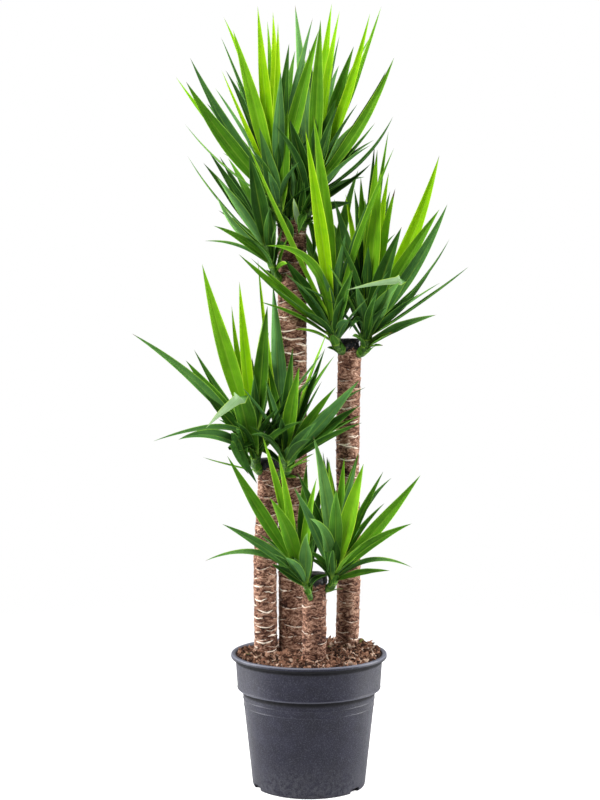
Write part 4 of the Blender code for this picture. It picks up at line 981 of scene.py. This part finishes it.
        ("d", -7.3, 132.4, -5, 24, 0.02, 0.7, 0.12), ("d", -5.6, 136.0, -4, 26, 0.0, 0.8, 0.10),
        ("d", -4.9, 131.6, -5, 24, 0.0, 0.7, 0.04), ("d", -4.3, 138.0, -2, 26, 0.0, 0.8, 0.15),
        ("g", -8.9, 126.0, -6, 8, 0.0, 0.6, 0.0), ("d", -4.3, 160.8, 2, 29, 0.02, 0.7),
        ("g", -6.1, 154.6, -9, 29, 0.03, -0.8), ("m", 2.1, 163.6, -4, 32, 0.02, 0.9),
        ("p", 0.8, 166.2, 6, 27, 0.02, -0.6), ("m", -4.6, 146.5, -4, 30, 0.02, 0.8, 0.45),
        ("g", -26.8, 143.4, -2, 11, -0.11, 0.2), ("b", -18.9, 155.0, -9, 14, -0.02, 0.6),
        ("d", -9.4, 137.5, -4, 30, 0.04, 0.8, 0.3), ("d", -4.4, 116.4, -1, 18, 0.25, 0.5),
        ("n", -26.6, 152.6, -8, 36, -0.07, 0.9), ("b", -28.8, 153.6, 2, 23, -0.06, 0.5),
        ("n", -3, 159.3, 16.9, 27, 0.07, 0.1), ("d", -8.8, 158.8, 14, 24, 0.09, -0.09),
        ("g", -0.6, 157.3, 18.5, 24, 0.06, -0.09), ("n", -15.8, 152.9, 20.2, 27, 0.06, 0.2),
        ("d", -5.6, 150.5, 28, 25, 0.09, -0.01), ("n", 7.1, 146.1, 26.1, 25, 0.16, 0.25),
    ),
    "120_right": (
        ("m", 18.4, 157.8, -5, 26, -0.10, 0.8), ("d", 16.6, 154.8, 3, 25, -0.08, 0.6),
        ("l", 15.6, 168.7, -2, 24, -0.04, 0.5), ("b", 13.2, 167.3, -4, 23, -0.05, 0.8),
        ("n", 9.7, 160.2, 3, 33, 0.03, 0.9), ("b", 6.6, 167.8, -1, 27, 0.02, 0.6),
        ("b", 4.9, 169.3, 6, 27, 0.02, 0.7), ("m", 2.5, 165.9, -8, 32, 0.02, 0.9),
        ("g", 6.6, 162.6, 9, 23, 0.02, -0.5), ("p", -3.8, 135.1, -6, 22, 0.0, -0.8, 0.06),
        ("w", -3.4, 127.6, -9, 14, 0.04, -0.6, 0.0), ("d", -1.9, 135.2, -6, 18, 0.02, 0.7, 0.12),
        ("d", -1.0, 131.0, -6, 20, 0.02, 0.7, 0.15), ("d", -2.7, 131.5, -5, 20, 0.0, 0.7, 0.0),
        ("d", -2.6, 138.5, -2, 30, 0.0, 0.8, 0.20), ("n", 0.3, 128.8, -7, 18, 0.03, 0.5, 0.05),
        ("d", 1.9, 128.5, -6, 18, 0.04, 0.6, 0.10), ("d", 1.4, 122.6, -5, 12, 0.08, 0.5, 0.0),
        ("d", 5.8, 148.8, -4, 34, 0.05, 0.8), ("d", 9.9, 138.5, -1, 35, 0.08, 0.8),
        ("d", 14.3, 143.7, 1, 20, -0.05, 0.3), ("d", 18.2, 145.1, -4, 21, -0.2, 0.3),
        ("d", 13.4, 134.9, -2, 18, -0.12, 0.5), ("d", 10.3, 131.6, 2, 18, 0.05, 0.7),
        ("d", 9.3, 126.5, 5, 22, 0.08, 0.7), ("g", 7.3, 142.5, 6, 24, 0.03, -0.6),
        ("d", -4.2, 144.5, -8, 32, 0.05, 0.9), ("d", -2.3, 119.6, -9, 18, 0.2, 0.5),
        ("p", -3, 169, 8, 30, 0, -0.7), ("d", -0.4, 138.0, -4, 26, 0.03, 0.8, 0.30),
        ("d", 1.6, 136.0, -5, 26, 0.03, 0.7, 0.25), ("d", 0.9, 114.5, -1, 18, 0.15, 0.5),
        ("n", 13.5, 162.6, 9.7, 27, 0.07, -0.11), ("d", 0.1, 159.6, 17, 26, 0.16, -0.09),
        ("g", 6.5, 156.1, 17.4, 31, 0.12, -0.09), ("n", -9.1, 155.1, 22.1, 24, 0.12, 0.24),
        ("d", -4.1, 148.5, 31.7, 29, 0.09, -0), ("n", 13.9, 146, 25, 29, 0.12, 0.16),
    ),
    "120_left": (
        ("p", -22.7, 118.2, -3, 13, 0.2, 0.5), ("n", -20.7, 121.5, -12, 19, 0.1, 0.8),
        ("d", -19.6, 124.8, 1, 19, 0.08, 0.5), ("g", -26.3, 136.6, -2, 10, -0.09, 0.3),
        ("d", -7.2, 122.8, -6, 12, 0.0, 0.6, 0.55), ("d", -5.8, 120.9, -6, 12, 0.02, 0.6, 0.45),
        ("n", -4.6, 119.0, -6, 12, 0.04, 0.6, 0.35), ("d", -8.6, 119.8, -6, 12, 0.0, 0.6, 0.60),
        ("p", -20, 128, -6, 18, -0.2, -0.6), ("d", -22.9, 135.1, -5, 24, 0.02, 0.7),
        ("p", -20.1, 132.2, -9, 22, 0.03, -0.7), ("d", -21.7, 137.5, 3, 24, 0.02, 0.6),
        ("d", -19.4, 136.5, 6, 22, 0.02, 0.5), ("d", -13, 137, -10, 37, 0.03, 0.8),
        ("m", -4.7, 113.3, -7, 20, 0.1, 0.7), ("d", -11.9, 118, -14, 18, 0.08, 0.6),
        ("d", -7, 122.2, -9, 13, 0.08, 0.6), ("n", -8.7, 141.3, 17.3, 26, 0.16, 0.24),
        ("d", -11.4, 146.3, 15.5, 30, 0.16, 0.15), ("g", -6.6, 138.1, 19.9, 28, 0.1, -0.14),
        ("n", -17.6, 136.2, 18.6, 26, 0.09, 0.13), ("d", -8, 134.3, 28.2, 27, 0.17, 0.25),
    ),
}

# %% [markdown]
# ## From a row to a leaf's middle line
# A tip that is drawn on the elevation lies somewhere on the line from the camera through it. Its
# depth settles where. The leaf leaves its stem high up if it stands and low down if it leans out,
# and a quadratic curve carries its midrib from root to tip.

# %% Leaf lines
ROOT_OFFSET = 0.62
HIGHEST_ROOT = 0.97
LOWEST_ROOT = 0.37
LOWEST_ROOT_LEAN = math.radians(110)
CREASE_RADIUS = 0.0035


def seen(x, z, depth):
    """The point at a depth behind the pot's middle that the camera sees at (x, z), in centimetres."""
    on_plane = Vector((x / 100, 0.0, z / 100))
    return EYE + (on_plane - EYE) * ((depth / 100 - EYE.y) / -EYE.y)


def along(points, share):
    """The point at this share of a smooth line through the points."""
    spans = len(points) - 1
    span = min(int(share * spans), spans - 1)
    t = share * spans - span
    a, b, c, d = (points[min(max(span + step, 0), spans)] for step in (-1, 0, 1, 2))
    return 0.5 * ((2 * b) + (c - a) * t + (2 * a - 5 * b + 4 * c - d) * t ** 2
                  + (3 * b - a - 3 * c + d) * t ** 3)


def stem_radius(radii, share):
    return radii[0] + (radii[1] - radii[0]) * share


def leaf_root(radii, line, tip, share=None):
    crown = line[-1]
    if share is None:
        lean = (crown - line[-2]).angle(tip - crown)
        share = HIGHEST_ROOT - (HIGHEST_ROOT - LOWEST_ROOT) * min(lean / LOWEST_ROOT_LEAN, 1.0)
    outward = Vector((tip.x - crown.x, tip.y - crown.y, 0.0)).normalized()
    return along(line, share) + outward * stem_radius(radii, share) * ROOT_OFFSET


def leaf_line(radii, line, row, creased):
    """The root, bend and tip of the leaf's middle curve, and whether it is creased at its bend."""
    x, z, depth, _, bow, _ = row[:6]
    share = row[-1] if len(row) in (7, 10) else None
    root = leaf_root(radii, line, seen(x, z, 0.0), share)
    tip = seen(x, z, root.y * 100 + depth)
    root = leaf_root(radii, line, tip, share)
    if len(row) > 8:
        via = seen(row[6], row[7], root.y * 100 + row[8])
        return root, via if creased else via * 2 - (root + tip) / 2, tip, creased
    chord = tip - root
    ahead = chord.normalized()
    over = (Vector((0, 0, 1)) - ahead * ahead.z).normalized()
    return root, root + chord * 0.5 + over * bow * chord.length, tip, creased


def leaf_frame(leaf, t, facing):
    """The leaf's middle, its width direction and its upper side at t."""
    root, bend, tip, creased = leaf
    if creased:
        return crease_frame(root, bend, tip, t)
    centre = root * (1 - t) ** 2 + bend * (2 * t * (1 - t)) + tip * t ** 2
    ahead = ((bend - root) * (1 - t) + (tip - bend) * t).normalized()
    across = Vector((0, 0, 1)).cross(Vector((tip.x - root.x, tip.y - root.y, 0.0))).normalized()
    upper = ahead.cross(across).normalized() * (1 - abs(facing)) + (EYE - centre).normalized() * facing
    upper = (upper - ahead * upper.dot(ahead)).normalized()
    return centre, ahead.cross(upper).normalized(), upper


def crease_frame(root, bend, tip, t):
    """The same for a creased leaf, which rolls over a thin rod along its crease, like folded paper."""
    first, second = (bend - root).length, (tip - bend).length
    before, after = (bend - root) / first, (tip - bend) / second
    crease, climb = (before + after).normalized(), (before - after).normalized()
    front = crease.cross(climb)
    if front.dot(EYE - bend) < 0:
        front.negate()
    slide, rise_by = before.dot(crease), before.dot(climb)
    past = t * (first + second) - first
    half_turn = math.pi * CREASE_RADIUS / (2 * rise_by)
    turned = min(max(math.pi / 2 * (1 + past / half_turn), 0.0), math.pi)
    beyond = max(abs(past) - half_turn, 0.0)
    centre = bend + crease * (slide * past) + front * (CREASE_RADIUS * (1 - math.cos(turned)))
    centre += climb * (CREASE_RADIUS * (math.sin(turned) - 1) - rise_by * beyond)
    ahead = crease * slide + (climb * math.cos(turned) + front * math.sin(turned)) * rise_by
    upper = front * math.cos(turned) - climb * math.sin(turned)
    return centre, ahead.cross(upper).normalized(), upper


# %% [markdown]
# ## The shape of a yucca leaf
# A leaf is a sword: narrow and gutter-shaped where it clasps the stem, widest just before half its
# length, and drawn out to a stiff point. Its edges stand up from the midrib, wave a little, and the
# whole blade twists by a few degrees. Each number is stored on the points where the material needs
# it: the distance from the margin in millimetres, and the leaf's own tone.

# %% Leaf blades
LEAF_COLUMNS = 8
LEAF_ROWS = 18
LEAF_THICKNESS = 0.0011
ROOT_WIDTH = 0.40
WIDEST_AT = 0.45
TAPER_POWER = 1.38
TWIST = 0.16
WAVE = 0.07
TONE_SPREAD = 0.05
# How steep the sides stand: all along, more where the leaf clasps the stem, more towards the tip.
GUTTER = 0.50
CLASP = 0.50
CLASP_END = 0.22
TIP_GUTTER = 0.15
# The share of the length over which the gutter is pressed flat on either side of a crease.
PRESSED_FLAT = 0.25


def leaf_width(t, width):
    if t < WIDEST_AT:
        return width * (ROOT_WIDTH + (1 - ROOT_WIDTH) * math.sin(math.pi / 2 * t / WIDEST_AT))
    return width * (1 - ((t - WIDEST_AT) / (1 - WIDEST_AT)) ** TAPER_POWER)


def grow_leaf(bm, layers, leaf, width, facing, tones, draw, columns=LEAF_COLUMNS, rows=LEAF_ROWS):
    """Adds one blade with its own twist, waves and tone; a creased one has a second tone."""
    twist = draw.uniform(-TWIST, TWIST)
    waves = draw.uniform(0.0, WAVE), draw.uniform(2.0, 4.5), draw.uniform(0, math.tau)
    bright, grey, dry = tones[0]
    bright = min(max(bright + draw.uniform(-TONE_SPREAD, TONE_SPREAD), 0.0), 1.0)
    dry = max(dry, draw.choice((0.0, 0.0, 0.0, 0.15)))
    frames = {}
    crease_at = 2.0
    if leaf[3]:
        first, second = (leaf[1] - leaf[0]).length, (leaf[2] - leaf[1]).length
        crease_at = first / (first + second)
        rows *= 2

    def leaf_point(u, v):
        if v not in frames:
            frames[v] = leaf_frame(leaf, v, facing)
        centre, across, upper = frames[v]
        side = u * 2 - 1
        half = leaf_width(v, width) / 2
        angle = twist * v * v
        swung = across * math.cos(angle) + upper * math.sin(angle)
        lifted = upper * math.cos(angle) - across * math.sin(angle)
        gutter = GUTTER + CLASP * max(0.0, 1 - v / CLASP_END) ** 2 + TIP_GUTTER * v ** 4
        gutter *= min(abs(v - crease_at) / PRESSED_FLAT, 1.0)
        wave = waves[0] * math.sin(waves[1] * math.tau * v + waves[2]) * side
        lift = half * (gutter * abs(side) ** 1.15 + wave)
        squeeze = math.cos(min(gutter, 0.8) * 0.8 * abs(side))
        point = centre + swung * (half * side * (0.5 + 0.5 * squeeze)) + lifted * lift
        shade, dullness = (bright, grey) if v < crease_at else tones[1][:2]
        return point, lifted, ((1 - abs(side)) * half * 1000, shade, dullness, dry)

    blade(bm, columns, rows, leaf_point, LEAF_THICKNESS, layers, (0, 1))


# %% [markdown]
# ## Leaf materials
# Both sides of a leaf share one pattern, so it is a group: pale yellow-green margins, a lighter
# midrib, long parallel veins, a blanched base and a dry tip. It reads the leaf's own UV map, where
# u = 0.5 is the midrib. The upper side is a half glossy green that runs from nearly black-green on
# old leaves to yellow-green on the young ones. The underside is duller and greyer.

# %% Blade pattern group
blade_pattern, blade_in, blade_out = new_group(
    "blade_pattern", {"Margin Width": 1.0, "Vein Scale": 1.0},
    ("Margin", "Midrib", "Veins", "Base", "Tip", "Blotches"))
tree = blade_pattern
parts = node(tree, "SeparateXYZ", {0: node(tree, "UVMap", uv_map="surface").outputs[0]}).outputs
across, upwards = parts["X"], parts["Y"]
stretched = node(tree, "CombineXYZ", {
    "X": times(tree, across, times(tree, blade_in["Vein Scale"], 22.0)),
    "Y": times(tree, upwards, 0.7), "Z": times(tree, attribute(tree, "bright"), 90.0),
}).outputs[0]
veins = use_group(tree, grain, {"Vector": stretched, "Scale": 1.0})
edge = calc(tree, "DIVIDE", attribute(tree, "edge"), blade_in["Margin Width"])
towards_tip = scaled(tree, rise(tree, upwards, 0.97, 0.70), 0.80, 0.20)
off_middle = calc(tree, "ABSOLUTE", scaled(tree, across, 2.0, -1.0))
# The veins crowd together as the blade narrows, so their contrast fades towards the tip.
crowded = rise(tree, upwards, 1.0, 0.55)
vein_mix = scaled(tree, veins["Fine"], 0.4, scaled(tree, veins["Broad"], 0.6, -0.5))
dry_from = scaled(tree, attribute(tree, "dry"), -0.12, 0.985)
ragged = scaled(tree, veins["Broad"], -0.03, upwards)
effects = {
    "Margin": times(tree, rise(tree, edge, 1.15, 0.55), towards_tip),
    "Midrib": times(tree, rise(tree, off_middle, 0.13, 0.02), rise(tree, upwards, 0.97, 0.45)),
    "Veins": scaled(tree, vein_mix, crowded, 0.5),
    "Base": rise(tree, upwards, 0.13, 0.0),
    "Tip": rise(tree, calc(tree, "SUBTRACT", ragged, dry_from), -0.012, 0.012),
    "Blotches": grain_on_object(tree, 22.0)["Broad"],
}
for label, effect in effects.items():
    tree.links.new(effect, blade_out[label])
print("blade pattern with", len(tree.nodes), "nodes")


def leaf_colour(tree, pattern, greyness, margin_share):
    """The green of a leaf by its tone, with margins, midrib, veins, base and dry tip over it."""
    bright = attribute(tree, "bright")
    value = scaled(tree, pattern["Veins"], 0.20, bright)
    value = calc(tree, "ADD", value, scaled(tree, pattern["Blotches"], 0.10, -0.15))
    colour = ramp(tree, value, (0.0, (0.008, 0.030, 0.003)), (0.16, (0.022, 0.080, 0.005)),
                  (0.42, (0.080, 0.240, 0.004)), (0.64, (0.175, 0.430, 0.003)),
                  (0.84, (0.320, 0.590, 0.003)), (1.0, (0.480, 0.740, 0.015)))
    dull = ramp(tree, value, (0.0, (0.020, 0.064, 0.022)), (0.30, (0.080, 0.205, 0.068)),
                (0.60, (0.210, 0.380, 0.165)), (0.95, (0.450, 0.600, 0.345)))
    colour = blend_colours(tree, calc(tree, "ADD", attribute(tree, "grey"), greyness), colour, dull)
    lighter = blend_colours(tree, 0.5, colour, (0.360, 0.580, 0.060, 1))
    colour = blend_colours(tree, times(tree, pattern["Midrib"], 0.40), colour, lighter)
    colour = blend_colours(tree, times(tree, pattern["Base"], 0.55), colour, (0.300, 0.500, 0.050, 1))
    edging = ramp(tree, value, (0.10, (0.120, 0.290, 0.050)), (0.45, (0.360, 0.620, 0.050)),
                  (0.75, (0.620, 0.860, 0.040)))
    colour = blend_colours(tree, times(tree, pattern["Margin"], margin_share), colour, edging)
    return blend_colours(tree, pattern["Tip"], colour, (0.130, 0.072, 0.030, 1))


# %% Leaf sides
# Name, specular level, margin width, vein scale, greyness, share of the margin, least roughness.
SIDES = (("leaf_upper", 0.07, 1.5, 1.0, 0.0, 0.80, 0.34), ("leaf_under", 0.06, 1.2, 1.4, 0.12, 0.65, 0.50))
leaf_sides = []
for name, specular, margin, vein_scale, greyness, margin_share, least in SIDES:
    material, tree, shader = new_material(name, IOR=1.45, Specular_IOR_Level=specular)
    pattern = use_group(tree, blade_pattern, {"Margin Width": margin, "Vein Scale": vein_scale})
    colour = leaf_colour(tree, pattern, greyness, margin_share)
    roughness = scaled(tree, pattern["Veins"], 0.14, least)
    ridges_and_groove = scaled(tree, pattern["Midrib"], -0.8, pattern["Veins"])
    surface_finish(tree, shader, colour, roughness, ridges_and_groove, 0.00045)
    leaf_sides.append(material)
print("leaf sides:", [material.name for material in leaf_sides])

# %% [markdown]
# ## Green stems
# Each shoot is a short green stem that breaks out of the cane just under the wax. It is clasped by
# the bases of its first small leaves. The stem is a tapering skin, closed inside the cane and under
# the crown, and the clasping bases are blades bent round it.

# %% Stem material
stem_green, tree, shader = new_material("stem_green", IOR=1.45, Specular_IOR_Level=0.35)
rings = grain_on_object(tree, 110.0, 0.5, (1.0, 1.0, 1.8))
colour = ramp(tree, scaled(tree, rings["Broad"], 0.5, times(tree, rings["Fine"], 0.3)),
              (0.0, (0.014, 0.045, 0.006)), (0.45, (0.050, 0.135, 0.014)), (0.8, (0.200, 0.350, 0.050)))
surface_finish(tree, shader, colour, scaled(tree, rings["Fine"], 0.2, 0.42), rings["Fine"],
               0.0004)

# %% [markdown]
# ## The heart of each crown
# Between the leaves that make the outline stand shorter and darker ones, so that the heart of a
# crown is dense. These do follow a rule: one after another they leave the stem at the golden angle,
# the lowest leaning out and the highest nearly upright.

# %% Core leaves
# How many core leaves a shoot has, and the length of the longest in metres.
CORES = {
    "30_left": (7, 0.10), "30_right": (7, 0.10), "60_left": (12, 0.17), "60_right": (12, 0.15),
    "90_left": (13, 0.19), "90_right": (14, 0.20), "120_front": (14, 0.16), "120_right": (14, 0.21),
    "120_left": (9, 0.14),
}
# Where on the stem the lowest one stands, and how much further up the highest does.
CORE_ROOTS = (0.42, 0.55)
CORE_LEAN = math.radians(58)
CORE_UPRIGHT = 0.80
CORE_BEND = 0.6
CORE_FACING = 0.25
CORE_FACES = (4, 9)


def core_line(radii, line, place, turned, length):
    """The middle curve of a core leaf; place runs from 0, the lowest, to 1, the highest."""
    share = CORE_ROOTS[0] + CORE_ROOTS[1] * place
    lean = CORE_LEAN * (1 - CORE_UPRIGHT * place)
    outward = outwards(turned)
    upward = (line[-1] - line[-2]).normalized()
    root = along(line, share) + outward * stem_radius(radii, share) * ROOT_OFFSET
    bent = lean * CORE_BEND
    bend = root + (upward * math.cos(bent) + outward * math.sin(bent)) * length * 0.5
    tip = root + (upward * math.cos(lean) + outward * math.sin(lean)) * length
    return root, bend, tip, False


# %% Grow the shoots
SHOOT_SEED = 200
STEM_SIDES = 14
STEM_ROWS = 14
STEM_RINGS = 40
STEM_BULGE = 0.07
SHEATHS = 7
SHEATH_ROOTS = (0.12, 0.62)
SHEATH_FACES = (4, 6)
SHEATH_THICKNESS = 0.0009
leaf_count = 0
for seed, (name, (radii, stem)) in enumerate(STEMS.items()):
    draw = random.Random(SHOOT_SEED + seed)
    line = [seen(*point) for point in stem]
    bm, layers = start_mesh("edge", "bright", "grey", "dry")
    for row in LEAVES[name]:
        tones = [TONES[letter] for letter in row[0]]
        leaf = leaf_line(radii, line, row[1:], len(tones) == 2)
        grow_leaf(bm, layers, leaf, row[4] / 1000, row[6], tones, draw)
        leaf_count += 1
    count, longest = CORES[name]
    for index in range(count):
        place = index / (count - 1)
        leaf = core_line(radii, line, place, index * GOLDEN_ANGLE + seed, longest * draw.uniform(0.6, 1.0))
        tones = [TONES["ddg"[index % 3]]]
        grow_leaf(bm, layers, leaf, draw.uniform(0.020, 0.028), CORE_FACING, tones, draw, *CORE_FACES)

    def stem_place(share, angle, out):
        """A point on the stem's side, and the directions outwards and along it."""
        ahead = (along(line, min(share + 0.05, 1.0)) - along(line, max(share - 0.05, 0.0))).normalized()
        across = ahead.cross(Vector((0, 1, 0))).normalized()
        outward = across * math.cos(angle) + across.cross(ahead) * math.sin(angle)
        return along(line, share) + outward * out, outward, ahead

    for index in range(SHEATHS):
        share = SHEATH_ROOTS[0] + SHEATH_ROOTS[1] * index / SHEATHS
        turned = index * GOLDEN_ANGLE + seed
        length = draw.uniform(0.020, 0.038)
        stand = draw.uniform(0.15, 0.5)
        clasp = draw.uniform(0.75, 1.15)

        def sheath_point(u, v):
            """A small leaf base, wrapped round the stem and bent outwards at its tip."""
            here = min(share + v * length * 0.4 / 0.09, 1.0)
            radius = stem_radius(radii, here)
            angle = turned + (u - 0.5) * 2 * clasp * (1 - v ** 1.8)
            point, outward, ahead = stem_place(share, angle, radius + 0.0005)
            point += ahead * (length * v * math.cos(stand * v)) + outward * (length * stand * v * v * 0.8)
            edge = (0.5 - abs(u - 0.5)) * 2 * clasp * radius * (1 - v ** 1.8) * 1000
            return point, outward, (edge, 0.22, 0.08, 0.6)

        blade(bm, *SHEATH_FACES, sheath_point, SHEATH_THICKNESS, layers, (1, 0))

    def stem_point(u, v):
        share = between_ends(v, STEM_ROWS)
        radius = stem_radius(radii, share) * (1 + STEM_BULGE * math.sin(share * STEM_RINGS))
        if v in (0.0, 1.0):
            radius = 0.0
        elif share > 0.9:
            radius *= 0.6
        point, _, _ = stem_place(share, -math.tau * u, radius)
        return point, (5.0, 0.4, 0.1, 0.0)

    skin(bm, STEM_SIDES, STEM_ROWS, stem_point, layers, 2)
    keep_piece(bm, "leaves_" + name, [*leaf_sides, stem_green], "leaf", "shoot_" + name)
print("leaves:", leaf_count)

# %% [markdown]
# ## Floor and light
# The plant was shot on seamless white under large soft boxes, so it needs a white surround rather
# than a room. The floor is a wide pale disc that fades away towards its rim, which leaves no
# horizon in any view. Two upright soft boxes at the sides rim the dark pot, a square one at the
# front left lights the leaves, one more hangs over the plant, and the white world fills the shadows.

# %% Floor
FLOOR_RADIUS = 2.5
FADE_FROM = 0.7
FADE_TO = 2.4
paper, tree, shader = new_material("studio_floor", Specular_IOR_Level=0.1, Emission_Strength=0.62)
tree.links.new(node(tree, "LightPath").outputs["Is Camera Ray"], shader["Emission Color"])
flat = object_axes(tree)
squared = scaled(tree, flat["X"], flat["X"], times(tree, flat["Y"], flat["Y"]))
distance = calc(tree, "SQRT", squared)
haze = grain_on_object(tree, 3.0)
colour = blend_colours(tree, haze["Broad"], (0.68, 0.68, 0.68, 1), (0.72, 0.72, 0.72, 1))
tree.links.new(colour, shader["Base Color"])
tree.links.new(scaled(tree, haze["Fine"], 0.1, 0.8), shader["Roughness"])
tree.links.new(rise(tree, distance, FADE_TO, FADE_FROM), shader["Alpha"])
bm = bmesh.new()
bmesh.ops.create_circle(bm, cap_ends=True, segments=96, radius=FLOOR_RADIUS)
mesh = as_mesh(bm, "studio_floor")
mesh.materials.append(paper)
floor = new_object("studio_floor", mesh)

# %% Light
bpy.context.scene.view_settings.view_transform = "Standard"
world = bpy.data.worlds.new("white_studio")
world.use_nodes = True
tree = world.node_tree
tree.nodes.clear()
fill = node(tree, "Background", {"Color": (1, 1, 1, 1), "Strength": 0.30})
backdrop = node(tree, "Background", {"Color": (1, 1, 1, 1), "Strength": 1.0})
seen_directly = node(tree, "LightPath").outputs["Is Camera Ray"]
both = node(tree, "MixShader", {0: seen_directly})
tree.links.new(fill.outputs[0], both.inputs[1])
tree.links.new(backdrop.outputs[0], both.inputs[2])
tree.links.new(both.outputs[0], node(tree, "OutputWorld").inputs["Surface"])
bpy.context.scene.world = world

# Each rectangular lamp: its name, its place, the height it faces, its width and height, its power.
SOFT_BOXES = (
    ("left_box", (-2.1, 0.15, 0.8), 0.6, 1.5, 2.2, 118), ("right_box", (2.1, 0.15, 0.8), 0.6, 1.5, 2.2, 115),
    ("front_box", (-1.6, -2.4, 2.9), 1.1, 1.2, 1.2, 115), ("top_box", (0.2, 0.0, 3.3), 1.0, 1.4, 1.4, 55),
)
for name, place, faces_height, width, height, power in SOFT_BOXES:
    data = bpy.data.lights.new(name, "AREA")
    data.shape = "RECTANGLE"
    data.size = width
    data.size_y = height
    data.energy = power
    lamp = new_object(name, data)
    lamp.location = place
    ahead = Vector((0.0, 0.0, faces_height)) - Vector(place)
    lamp.rotation_euler = ahead.to_track_quat("-Z", "Y").to_euler()
